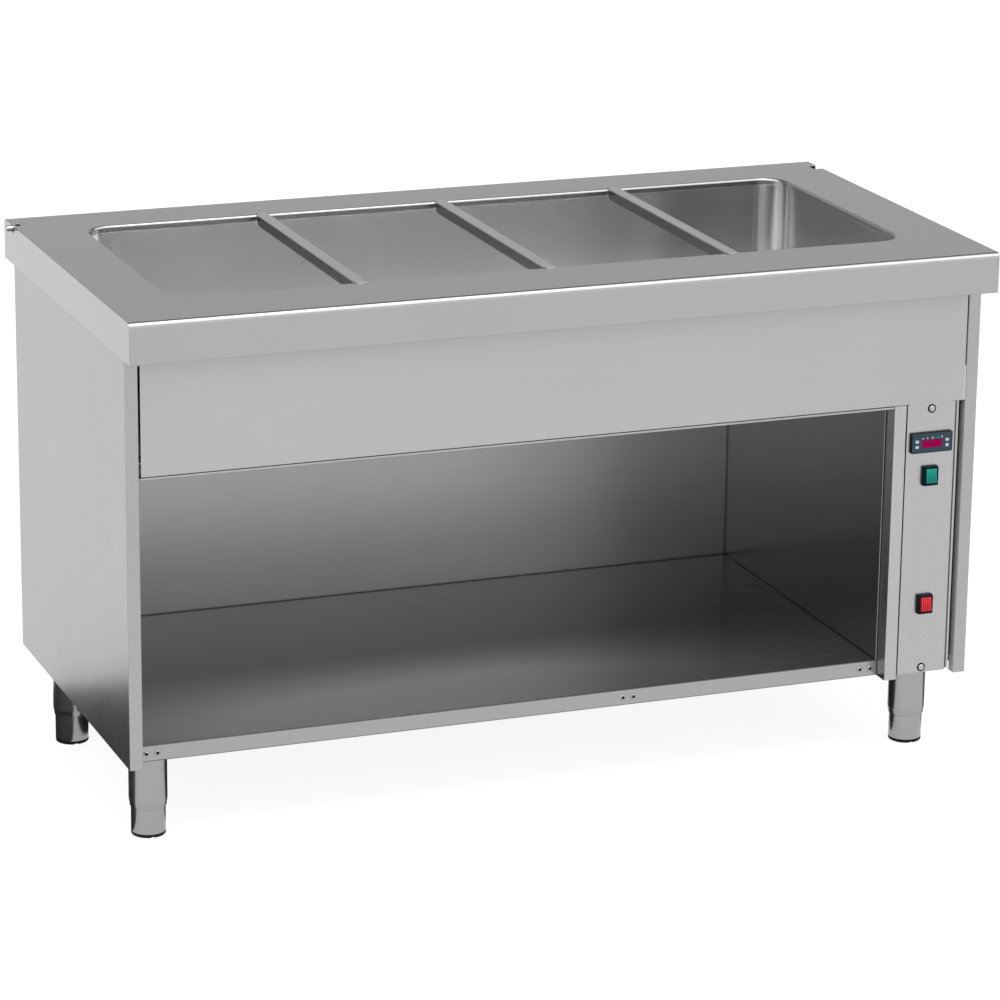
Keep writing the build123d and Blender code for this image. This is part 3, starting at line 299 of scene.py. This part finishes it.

# %% [markdown]
# Satin steel
# Kitchen steel is ground with a fine belt, which leaves thin parallel scratches and a soft, streaked
# shine. An image could hold such scratches, but a noise stretched along one axis gives them at any
# size. Three noises are mixed: the scratches, wider streaks, and soft patches from wiping. A few
# small pits lie on the sheets. Along the edges the steel is a little round, which a bevel node finds
# by looking for a nearby face that turns away, and there its colour changes: a little lighter as
# wear on most sheets, darker on the worktop as a painted shadow line, and much lighter on the
# cupboard's inner walls as a painted highlight.

# %% Find the edges and the pits
GRAIN = {
    "x": ((9.0, 1500.0, 1500.0), (2.2, 210.0, 210.0)),
    "y": ((1500.0, 9.0, 1500.0), (210.0, 2.2, 210.0)),
    "z": ((1500.0, 1500.0, 9.0), (210.0, 210.0, 2.2)),
    "level": ((9.0, 9.0, 1500.0), (2.2, 2.2, 210.0)),
    "round": ((60.0, 60.0, 1500.0), (12.0, 12.0, 260.0)),
}
SCRATCH_DEPTH = 0.0003
WIPES_PER_METRE = 3.5
PITS_PER_METRE, PIT_SIZE, PIT_SHADE = 17.0, 0.0009, 0.6
EDGE_TURNS = (0.99, 0.80)


def edge_normal_and_mask(tree, radius):
    """The normal made round along edges, and a value that is 1 on an edge and 0 on a flat."""
    rounded = tree.nodes.new("ShaderNodeBevel")
    rounded.samples = 4
    rounded.inputs["Radius"].default_value = radius
    flat = tree.nodes.new("ShaderNodeNewGeometry")
    facing = tree.nodes.new("ShaderNodeVectorMath")
    facing.operation = "DOT_PRODUCT"
    tree.links.new(rounded.outputs["Normal"], facing.inputs[0])
    tree.links.new(flat.outputs["Normal"], facing.inputs[1])
    return rounded.outputs["Normal"], laid(tree, facing.outputs["Value"], *EDGE_TURNS, 0.0, 1.0)


def small_pits(tree):
    """A value that is 1 in a few small pits and 0 elsewhere."""
    place = tree.nodes.new("ShaderNodeTexCoord")
    cells = tree.nodes.new("ShaderNodeTexVoronoi")
    cells.inputs["Scale"].default_value = PITS_PER_METRE
    tree.links.new(place.outputs["Object"], cells.inputs["Vector"])
    pit = PIT_SIZE * PITS_PER_METRE
    return laid(tree, cells.outputs["Distance"], 0.5 * pit, pit, 1.0, 0.0)


print("grains:", list(GRAIN))


# %% Build the steel
def satin_steel(
    slot, grain, tone, roughness, streak=0.008, smudge=0.015, bump=0.010, edge_wear_and_light=0.12, edge=0.0008
):
    """Ground stainless steel with scratches that run as one of the grains does."""
    material, tree, shader = finish_of(slot)
    fine, wide = GRAIN[grain]
    scratches = stretched_noise(tree, fine)
    streaks = stretched_noise(tree, wide, 3.0)
    patches = stretched_noise(tree, (WIPES_PER_METRE,) * 3, 4.0)
    round_normal, edge_mask = edge_normal_and_mask(tree, edge)
    shade = ranged(tree, scratches, 1.0 - streak, 1.0 + streak)
    shade = reckon(tree, "MULTIPLY", shade, ranged(tree, streaks, 1.0 - streak, 1.0 + streak))
    shade = reckon(tree, "MULTIPLY", shade, ranged(tree, patches, 1.0 - smudge, 1.0 + smudge))
    shade = reckon(tree, "MULTIPLY", shade, laid(tree, edge_mask, 0.0, 1.0, 1.0, 1.0 + edge_wear_and_light))
    shade = reckon(tree, "MULTIPLY", shade, laid(tree, small_pits(tree), 0.0, 1.0, 1.0, PIT_SHADE))
    dull = ranged(tree, scratches, roughness * 0.92, roughness * 1.08)
    dull = reckon(tree, "MULTIPLY", dull, ranged(tree, patches, 0.92, 1.10))
    tint = tinted(tree, shader, (tone, tone, tone), shade)
    tree.links.new(dull, shader.inputs["Roughness"])
    raised(tree, shader, scratches, bump, SCRATCH_DEPTH, round_normal)
    shader.inputs["Metallic"].default_value = 1.0
    return material, tree, shader, tint


steels = {
    # Edges: lighter as wear on most steels, darker on the worktop as a painted shadow line, and much
    # lighter on the inner walls as a painted highlight.
    "steel_top": satin_steel("steel_top", "x", 0.36, 0.20, edge_wear_and_light=-0.2, edge=0.002),
    "steel_well": satin_steel("steel_well", "level", 0.735, 0.19, 0.005, 0.012, 0.001),
    "steel_bar": satin_steel("steel_bar", "y", 0.42, 0.18),
    "steel_panel": satin_steel("steel_panel", "z", 0.345, 0.28),
    # The back, the inner walls and the shelf have darker tones than the outer sheets, as painted shade
    # inside the cupboard.
    "steel_back": satin_steel("steel_back", "x", 0.268, 0.34),
    "steel_inner": satin_steel("steel_inner", "z", 0.215, 0.20, edge_wear_and_light=0.9),
    "steel_shelf": satin_steel("steel_shelf", "x", 0.280, 0.24),
    "steel_fascia": satin_steel("steel_fascia", "x", 0.378, 0.40),
    "steel_column": satin_steel("steel_column", "z", 0.40, 0.28),
    "steel_plate": satin_steel("steel_plate", "z", 0.386, 0.28),
    "steel_fixing": satin_steel("steel_fixing", "round", 0.38, 0.18),
    "steel_leg": satin_steel("steel_leg", "round", 0.31, 0.22),
}
print("steels:", list(steels))

# %% [markdown]
# Painted light and shade on the sheets
# On one sheet some faces are painted lighter or darker than the rest, standing in for light and
# shade. Seams in the cupboard and on the legs get painted shade, and so does the top of the fascia
# under the worktop that stands out. The front of the shelf gets a painted highlight and its lip a
# painted light. The shelf's bend, the bars' flanks, the well's end wall and the end panels' inner
# faces get painted shade, and the ends of the panels' lips, an edge that was never ground, are rough
# and painted lighter. Cutting the sheets apart would spoil the model, so each finish is shaded by
# what nodes can tell of a face: how open it is, where it faces and where it lies.


# %% Shade the faces
SQUARE = 0.9
OPENNESS = (0.5, 0.92)
FOLD_TURNS = (0.05, 0.25)
LEFT_TURNS = (-0.4, -0.6)
SEAM_REACH, LEG_SEAM_REACH, SEAM_SHADE = 0.005, 0.004, 0.35
OVERHANG_REACH, OVERHANG_SHADE = 0.08, 0.80
LIP_SHADE, BEND_SHADE, FLANK_SHADE, END_WALL_SHADE, INNER_SHADE = 1.15, 0.25, 0.5, 0.48, 0.4
LIP_EDGE = 0.002


def shaded(slot, made_shade, *values):
    """Shades the steel of a slot by one more factor."""
    tree, tint = steels[slot][1], steels[slot][3]
    before = tint.inputs["Scale"].links[0].from_socket
    tree.links.new(reckon(tree, "MULTIPLY", before, made_shade(tree, *values)), tint.inputs["Scale"])


def painted_crevice_shade(tree, reach, dark):
    """A painted shade that is dark within reach of another face and 1 in the open."""
    openness = tree.nodes.new("ShaderNodeAmbientOcclusion")
    openness.samples = 8
    openness.inputs["Distance"].default_value = reach
    return laid(tree, openness.outputs["AO"], *OPENNESS, dark, 1.0)


def face_parts(tree):
    """Where a face is turned to, as X, Y and Z."""
    turned = tree.nodes.new("ShaderNodeNewGeometry")
    split = tree.nodes.new("ShaderNodeSeparateXYZ")
    tree.links.new(turned.outputs["Normal"], split.inputs[0])
    return split.outputs


def painted_square_shade(tree, axis, shade):
    """One painted shade, lighter or darker, on faces square to an axis and 1 elsewhere."""
    square = reckon(tree, "GREATER_THAN", reckon(tree, "ABSOLUTE", face_parts(tree)[axis]), SQUARE)
    return laid(tree, square, 0.0, 1.0, 1.0, shade)


def painted_fold_shade(tree, dark):
    """A painted shade that is dark on a fold between a level face and a front, and 1 elsewhere."""
    turned = face_parts(tree)
    folded = reckon(tree, "ABSOLUTE", reckon(tree, "MULTIPLY", turned["Y"], turned["Z"]))
    return laid(tree, folded, *FOLD_TURNS, 1.0, dark)


def painted_left_shade(tree, dark):
    """A painted shade that grows dark as faces turn to the left and is 1 elsewhere."""
    return laid(tree, face_parts(tree)["X"], *LEFT_TURNS, 1.0, dark)


def painted_inner_shade(tree, beyond, dark):
    """A painted shade, dark on faces turned inwards further out than a distance, and 1 elsewhere."""
    across = place_parts(tree)["X"]
    inward = reckon(tree, "MULTIPLY", face_parts(tree)["X"], reckon(tree, "SIGN", across))
    outer = reckon(tree, "GREATER_THAN", reckon(tree, "ABSOLUTE", across), beyond)
    inner = reckon(tree, "MULTIPLY", reckon(tree, "LESS_THAN", inward, -SQUARE), outer)
    return laid(tree, inner, 0.0, 1.0, 1.0, dark)


def painted_front_highlight(tree, front, depth, middle, half_width, lighter):
    """A painted highlight: lighter in a soft patch on level faces behind a front edge, and 1
    elsewhere.
    """
    spot = place_parts(tree)
    aside = reckon(tree, "ABSOLUTE", reckon(tree, "SUBTRACT", spot["X"], middle))
    near = laid(tree, spot["Y"], front, front + depth, 1.0, 0.0)
    beside = laid(tree, aside, 0.0, half_width, 1.0, 0.0)
    near.node.interpolation_type = beside.node.interpolation_type = "SMOOTHSTEP"
    level = reckon(tree, "GREATER_THAN", face_parts(tree)["Z"], SQUARE)
    patch = reckon(tree, "MULTIPLY", reckon(tree, "MULTIPLY", near, beside), level)
    return laid(tree, patch, 0.0, 1.0, 1.0, lighter)


panel_lip_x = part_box("right_end_panel")[0].x
shelf_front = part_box("bottom_shelf")[0].y
HIGHLIGHT_INSET, HIGHLIGHT_DEPTH, HIGHLIGHT_MIDDLE, HIGHLIGHT_HALF_WIDTH, HIGHLIGHT_LIGHTER = 0.03, 0.30, -0.12, 1.05, 5.2
highlight_patch = (shelf_front + HIGHLIGHT_INSET, HIGHLIGHT_DEPTH, HIGHLIGHT_MIDDLE, HIGHLIGHT_HALF_WIDTH, HIGHLIGHT_LIGHTER)
# Painted shade: seams in the cupboard and on the legs, and the fascia's top under the worktop, are
# darkened near other faces.
for slot in ("steel_back", "steel_inner", "steel_shelf"):
    shaded(slot, painted_crevice_shade, SEAM_REACH, SEAM_SHADE)
shaded("steel_fascia", painted_crevice_shade, OVERHANG_REACH, OVERHANG_SHADE)
shaded("steel_leg", painted_crevice_shade, LEG_SEAM_REACH, SEAM_SHADE)
# Painted light: the shelf's faces square to Y, its lip's front, are made lighter.
shaded("steel_shelf", painted_square_shade, "Y", LIP_SHADE)
# Painted shade: the shelf's bend into its lip is darkened.
shaded("steel_shelf", painted_fold_shade, BEND_SHADE)
# Painted highlight: a soft lighter patch on the shelf behind its front edge.
shaded("steel_shelf", painted_front_highlight, *highlight_patch)
# Painted shade: the bars' flanks are darkened.
shaded("steel_bar", painted_square_shade, "X", FLANK_SHADE)
# Painted shade: the well's faces turned left, its right end wall and corner, are darkened.
shaded("steel_well", painted_left_shade, END_WALL_SHADE)
# Painted shade: the end panels' inner faces are darkened.
shaded("steel_panel", painted_inner_shade, panel_lip_x + LIP_EDGE, INNER_SHADE)
print("faces shaded behind", round(shelf_front, 4))


# %% Leave the lips' ends unground and paint them lighter
def at_distance(tree, distance, reach=0.0003):
    """A value that is 1 at a distance to either side of the middle and 0 elsewhere."""
    across = reckon(tree, "ABSOLUTE", place_parts(tree)["X"])
    return reckon(tree, "COMPARE", across, distance, reach)


def unground_and_painted_light(slot, distance, lighter, roughness):
    """Makes the faces of a steel at a distance from the middle rough, and lighter as painted light."""
    _, tree, shader, _ = steels[slot]
    there = at_distance(tree, distance)
    shaded(slot, lambda made: laid(made, there, 0.0, 1.0, 1.0, lighter))
    ground = shader.inputs["Roughness"].links[0].from_socket
    rough = reckon(tree, "MULTIPLY", there, roughness)
    tree.links.new(reckon(tree, "MAXIMUM", ground, rough), shader.inputs["Roughness"])


# Painted light: the lips' ends are made lighter as well as rough.
unground_and_painted_light("steel_panel", panel_lip_x, 1.2, 0.85)
print("unground at", round(panel_lip_x, 4), "from the middle")

# %% [markdown]
# Plain metals out of sight
# Rails and straps under the counter are zinc coated, with a broken, crystal look, the heating tubes
# are browned by heat, the valve is plated and its lever dipped in red. Each is one shader with a
# cloudy noise of the right size, which is cheaper than a texture of real crystals and looks the
# same at arm's length.


# %% Build the plain metals
def cloudy_metal(slot, colour, roughness, size, depth, metallic=1.0):
    """A metal whose colour and shine vary in soft patches of a size in metres."""
    material, tree, shader = finish_of(slot)
    clouds = stretched_noise(tree, (1.0 / size,) * 3, 4.0)
    tinted(tree, shader, colour, ranged(tree, clouds, 1.0 - depth, 1.0 + depth))
    dull = ranged(tree, clouds, roughness * 0.85, roughness * 1.15)
    tree.links.new(dull, shader.inputs["Roughness"])
    raised(tree, shader, clouds, 0.05, 0.1 * size)
    shader.inputs["Metallic"].default_value = metallic
    return material


plain_metals = [
    cloudy_metal("galvanised", (0.50, 0.51, 0.52), 0.5, 0.012, 0.14),
    cloudy_metal("element_steel", (0.30, 0.27, 0.24), 0.45, 0.05, 0.25),
    cloudy_metal("valve_nickel", (0.60, 0.57, 0.51), 0.28, 0.02, 0.06),
    cloudy_metal("lever_red", (0.46, 0.025, 0.02), 0.42, 0.01, 0.1, 0.0),
]
print("plain metals:", [metal.name for metal in plain_metals])

# %% [markdown]
# Moulded plastic and wool
# The thermostat, the switch surrounds and the soles are moulded, so they carry the mould's fine
# texture: a noise under half a millimetre across, as bump and as a change of shine. Dark plastic
# looks black only if it mirrors little of the white floor, so its gloss is turned down. The wool
# round the tank is the same recipe with a coarse noise and a strong bump.


# %% Build the plastics
def moulded(slot, colour, roughness, gloss=0.5, size=0.0004, bump=0.12, depth=0.06):
    """A moulded surface with a fine texture of a size in metres."""
    material, tree, shader = finish_of(slot)
    texture = stretched_noise(tree, (1.0 / size,) * 3)
    tint = tinted(tree, shader, colour, ranged(tree, texture, 1.0 - depth, 1.0 + depth))
    dull = ranged(tree, texture, roughness * 0.88, roughness * 1.12)
    tree.links.new(dull, shader.inputs["Roughness"])
    raised(tree, shader, texture, bump, size)
    shader.inputs["Specular IOR Level"].default_value = gloss
    return material, tree, shader, tint


plastics = [
    moulded("sole_black", (0.008, 0.008, 0.009), 0.6, 0.06),
    moulded("key_pale", (0.29, 0.32, 0.36), 0.42, 0.2),
    moulded("switch_black", (0.002, 0.005, 0.007), 0.4, 0.05),
    moulded("device_grey", (0.36, 0.37, 0.38), 0.5),
    moulded("gland_grey", (0.22, 0.23, 0.24), 0.45),
    moulded("wool", (0.62, 0.55, 0.38), 0.95, 0.3, 0.006, 0.9, 0.2),
]
print("plastics:", [made[0].name for made in plastics])

# %% [markdown]
# The thermostat's front
# The case is black, and a slate blue foil covers most of its front. The foil could be a sheet of
# its own, but it would have to be cut out round the window and the keys. One material does both:
# where a face looks to the front and lies within the foil's outline it is slate, elsewhere black.

# %% Lay the foil on the case
case_low, case_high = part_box("thermostat_case")
case_middle = (case_low + case_high) / 2
FOIL_SIDE_GAP, FOIL_TOP_GAP, FOIL_LIFT = 0.0014, 0.0012, 0.0006
foil_half_width = (case_high.x - case_low.x) / 2 - FOIL_SIDE_GAP
foil_half_height = (case_high.z - case_low.z) / 2 - FOIL_TOP_GAP
CASE_BLACK = (0.004, 0.005, 0.006, 1.0)
FOIL_SLATE = (0.023, 0.040, 0.053, 1.0)

_, tree, shader, tint = moulded("case_dark", CASE_BLACK[:3], 0.45, 0.05)
spot = place_parts(tree)
on_front = reckon(tree, "LESS_THAN", face_parts(tree)["Y"], -SQUARE)
in_width = reckon(tree, "COMPARE", spot["X"], case_middle.x, foil_half_width)
in_height = reckon(tree, "COMPARE", spot["Z"], case_middle.z + FOIL_LIFT, foil_half_height)
on_foil = reckon(tree, "MULTIPLY", on_front, reckon(tree, "MULTIPLY", in_width, in_height))
foil = tree.nodes.new("ShaderNodeMix")
foil.data_type = "RGBA"
case_colours = [socket for socket in foil.inputs if socket.type == "RGBA"]
case_colours[0].default_value = CASE_BLACK
case_colours[1].default_value = FOIL_SLATE
tree.links.new(on_foil, foil.inputs[0])
foil_out = [socket for socket in foil.outputs if socket.type == "RGBA"][0]
tree.links.new(foil_out, tint.inputs[0])
print("foil", round(2 * foil_half_width, 4), "by", round(2 * foil_half_height, 4))

# %% [markdown]
# Lit lenses
# The display and the two rockers are clear coloured plastic with a lamp behind. Glass with a lamp
# inside would be slow and noisy, so the plastic glows by itself. The rockers' lamps sit high, so
# their glow fades from the top edge to the bottom. Across the ribs the glow is brighter and dimmer
# in stripes, as painted light and shade on the ribs.

# %% Build the lenses
RIB_STEP, RIB_GLOW = 0.0038, (0.15, 1.2)
CLOUDS_PER_METRE, CLOUD_GLOW = 420.0, (0.82, 1.18)
CLEAR_PLASTIC = {"gloss": 0.03, "size": 0.0016, "bump": 0.04, "depth": 0.10}
LENSES = {
    "display": ("thermostat_window", (0.126, 0.0, 0.028), (1.0, 0.0, 0.22), 0.078, 0.096),
    "lens_green": ("green_rocker", (0.008, 0.09, 0.07), (0.03, 1.0, 0.80), 0.08, 0.34),
    "lens_red": ("red_rocker", (0.25, 0.012, 0.020), (1.0, 0.07, 0.075), 0.17, 0.54),
}
for slot, (node_name, colour, glow, dim, bright) in LENSES.items():
    _, tree, shader, _ = moulded(slot, colour, 0.25, **CLEAR_PLASTIC)
    low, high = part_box(node_name)
    spot = place_parts(tree)
    rise = laid(tree, spot["Z"], low.z, high.z, 0.0, 1.0)
    rise = reckon(tree, "POWER", rise, 2.0)
    clouds = ranged(tree, stretched_noise(tree, (CLOUDS_PER_METRE,) * 3), *CLOUD_GLOW)
    glow_now = reckon(tree, "MULTIPLY", laid(tree, rise, 0.0, 1.0, dim, bright), clouds)
    # Painted light and shade: the rockers' glow is brighter and dimmer in stripes across the ribs.
    if slot != "display":
        across = reckon(tree, "SUBTRACT", spot["X"], (low.x + high.x) / 2)
        ribs = reckon(tree, "COSINE", reckon(tree, "MULTIPLY", across, 2.0 * pi / RIB_STEP))
        glow_now = reckon(tree, "MULTIPLY", glow_now, laid(tree, ribs, -0.5, 0.5, *RIB_GLOW))
    shader.inputs["Emission Color"].default_value = (*glow, 1.0)
    tree.links.new(glow_now, shader.inputs["Emission Strength"])
print("lenses:", list(LENSES))

# %% Put the finishes on the pieces
for piece in frame["record"]["subparts"]:
    node = nodes[piece["node"]]
    material = bpy.data.materials[piece["material_slot"]]
    if node.material_slots:
        node.material_slots[0].material = material
    else:
        node.data.materials.append(material)

# %% [markdown]
# Small pieces on the steel
# Each screw of the control plate sits in a black ring, and a dark plug fills the hollow of every
# blind rivet. The black pieces stand in for the shade round the screw heads and in the rivets'
# hollows, as painted shade. Both are turned shapes: an outline of radius and reach, swept round.
# Their places are read from the screws and rivets of the model, by sorting the points into groups.


# %% Find the screws and rivets
def groups_along(node_name, axis, gap=0.005):
    """The middles of a node's separate solids, which lie in a row along an axis."""
    points = sorted((vertex.co for vertex in nodes[node_name].data.vertices), key=lambda co: co[axis])
    groups = [[points[0]]]
    for point in points[1:]:
        if point[axis] - groups[-1][-1][axis] > gap:
            groups.append([])
        groups[-1].append(point)
    middles = []
    for group in groups:
        corners = [[pick(point[i] for point in group) for i in range(3)] for pick in (min, max)]
        middles.append((Vector(corners[0]) + Vector(corners[1])) / 2)
    return middles


screw_middles = groups_along("plate_screws", 2)
rivet_middles = groups_along("shelf_rivets", 0)
print("screws:", len(screw_middles), "rivets:", len(rivet_middles))


# %% Turn the rings and plugs
SHARP_DEGREES = 40.0


def add_piece(name, shape, slot, material=None):
    """A finished mesh as a piece that rides on the counter."""
    bmesh.ops.recalc_face_normals(shape, faces=shape.faces[:])
    mesh = bpy.data.meshes.new(name)
    shape.to_mesh(mesh)
    shape.free()
    mesh.shade_smooth()
    mesh.set_sharp_from_angle(angle=radians(SHARP_DEGREES))
    mesh.materials.append(material or bpy.data.materials[slot])
    piece = bpy.data.objects.new(name, mesh)
    scene.collection.objects.link(piece)
    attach(piece, "counter")
    return piece


def sweep_round(shape, middle, outline, closed, steps=28):
    """Sweeps an outline of radius and reach round an axis that points to the front."""
    rings = []
    for radius, reach in outline:
        angles = [2.0 * pi * step / steps for step in range(steps)]
        spots = [Vector((radius * cos(a), -reach, radius * sin(a))) for a in angles]
        rings.append([shape.verts.new(middle + spot) for spot in spots])
    pairs = list(zip(rings, rings[1:]))
    if closed:
        pairs.append((rings[-1], rings[0]))
    else:
        shape.faces.new(rings[0])
        shape.faces.new(rings[-1])
    for first, second in pairs:
        for step in range(steps):
            after = (step + 1) % steps
            shape.faces.new((first[step], first[after], second[after], second[step]))


plate_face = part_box("control_plate")[0].y
RING_OUTLINE = (
    (0.0057, 0.0),
    (0.0057, 0.0008),
    (0.0061, 0.0012),
    (0.0070, 0.0012),
    (0.0075, 0.0008),
    (0.0075, 0.0),
)
ring_shape = bmesh.new()
for middle in screw_middles:
    sweep_round(ring_shape, Vector((middle.x, plate_face, middle.z)), RING_OUTLINE, True)
# Painted shade: a black ring round each screw head.
screw_shade_rings = add_piece("screw_shade_rings", ring_shape, "switch_black")

rivet_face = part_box("shelf_rivets")[0].y
PLUG_OUTLINE = (
    (0.0004, 0.00035),
    (0.0020, 0.0003),
    (0.0028, 0.0001),
    (0.0029, -0.0001),
    (0.0014, -0.0003),
    (0.0014, -0.0024),
)
plug_shape = bmesh.new()
for middle in rivet_middles:
    sweep_round(plug_shape, Vector((middle.x, rivet_face, middle.z)), PLUG_OUTLINE, False)
# Painted shade: a dark plug over each rivet's hollow.
rivet_shade_plugs = add_piece("rivet_shade_plugs", plug_shape, "switch_black")
print("rings:", screw_shade_rings.dimensions[:], "plugs:", rivet_shade_plugs.dimensions[:])

# %% [markdown]
# Marks and digits on the thermostat
# Small lamps in the foil stand over the display, and three unlit digits show faintly behind it.
# They could be painted, but thin raised shapes keep a sharp edge in every view. A shape is a flat
# outline that is pushed to the front and drawn in a little at its face.


# %% Cut the marks
def push_out(shape, outline, face, reach, draw_in=0.12):
    """A thin raised shape from an outline of X and Z, standing on a face that looks to the front."""
    middle = sum((Vector(point) for point in outline), Vector((0.0, 0.0))) / len(outline)
    foot = [shape.verts.new((x, face, z)) for x, z in outline]
    top = []
    for x, z in outline:
        inner = Vector((x, z)).lerp(middle, draw_in)
        top.append(shape.verts.new((inner.x, face - reach, inner.y)))
    shape.faces.new(foot)
    shape.faces.new(top)
    for step in range(len(outline)):
        after = (step + 1) % len(outline)
        shape.faces.new((foot[step], foot[after], top[after], top[step]))


def oval(x, z, width, tall, square):
    """An oval outline; a square number below 1 makes its corners fuller."""
    outline = []
    for step in range(MARK_STEPS):
        angle = 2.0 * pi * step / MARK_STEPS
        side, rise = cos(angle), sin(angle)
        side = abs(side) ** square * (1.0 if side > 0.0 else -1.0)
        rise = abs(rise) ** square * (1.0 if rise > 0.0 else -1.0)
        outline.append((x + 0.5 * width * side, z + 0.5 * tall * rise))
    return outline


MARK_LIFT, MARK_REACH, MARK_STEPS = 0.0031, 0.0002, 16
window_low, window_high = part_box("thermostat_window")
mark_z = window_high.z + MARK_LIFT
plate_x = (window_low.x + window_high.x) / 2
# Each mark: shift in X, lift in Z, width, height and how full its corners are
GREEN_MARK = (0.0104, 0.0, 0.0046, 0.0022, 0.8)
PALE_MARKS = (
    (-0.0172, -0.0003, 0.0034, 0.0020, 0.6),
    (-0.0088, 0.0000, 0.0027, 0.0027, 1.0),
    (0.0007, 0.0001, 0.0036, 0.0030, 1.0),
    (0.0181, 0.0007, 0.0021, 0.0044, 0.7),
)
mark_shape = bmesh.new()
for shift, lift, width, tall, square in PALE_MARKS:
    outline = oval(plate_x + shift, mark_z + lift, width, tall, square)
    push_out(mark_shape, outline, case_low.y, MARK_REACH)
lamp_marks = add_piece("lamp_marks", mark_shape, "key_pale")
green_shape = bmesh.new()
shift, lift, width, tall, square = GREEN_MARK
green_outline = oval(plate_x + shift, mark_z + lift, width, tall, square)
push_out(green_shape, green_outline, case_low.y, MARK_REACH)
green_mark = add_piece("green_mark", green_shape, "lens_green")
print("marks:", lamp_marks.dimensions[:], green_mark.dimensions[:])

# %% Cut the digits
# Painted light: the unlit digits glow faintly, a little more than the window, so they show.
UNLIT_COLOUR, UNLIT_ROUGHNESS = (0.105, 0.0, 0.023), 0.3
UNLIT_GLOW, UNLIT_STRENGTH = (1.0, 0.0, 0.22), 0.106
unlit, tree, shader, _ = moulded("display_unlit", UNLIT_COLOUR, UNLIT_ROUGHNESS, **CLEAR_PLASTIC)
shader.inputs["Emission Color"].default_value = (*UNLIT_GLOW, 1.0)
shader.inputs["Emission Strength"].default_value = UNLIT_STRENGTH
DIGIT_WIDE, DIGIT_TALL, DIGIT_STEP = 0.0062, 0.0098, 0.0108
BAR_THICK, BAR_GAP, BAR_REACH, LEAN = 0.0012, 0.0002, 0.00008, 0.12
digit_z = (window_low.z + window_high.z) / 2


def digit_bar(x, z, length, upright):
    """The outline of one bar of a digit, pointed at both ends."""
    half, thin = length / 2 - BAR_GAP, BAR_THICK / 2
    inner = half - thin
    along = [(-half, 0.0), (-inner, -thin), (inner, -thin), (half, 0.0), (inner, thin), (-inner, thin)]
    outline = [(x + q, z + p) if upright else (x + p, z + q) for p, q in along]
    return [(px + LEAN * (pz - digit_z), pz) for px, pz in outline]


digit_shape = bmesh.new()
for shift in (-DIGIT_STEP, 0.0, DIGIT_STEP):
    x, half_wide, half_tall = plate_x + shift, DIGIT_WIDE / 2, DIGIT_TALL / 2
    bars = [digit_bar(x, digit_z + level * half_tall, DIGIT_WIDE, False) for level in (-1, 0, 1)]
    bars += [
        digit_bar(x + side * half_wide, digit_z + level * half_tall / 2, half_tall, True)
        for side in (-1, 1)
        for level in (-1, 1)
    ]
    for outline in bars:
        push_out(digit_shape, outline, window_low.y, BAR_REACH)
display_digits = add_piece("display_digits", digit_shape, "display", unlit)
print("digits:", display_digits.dimensions[:])
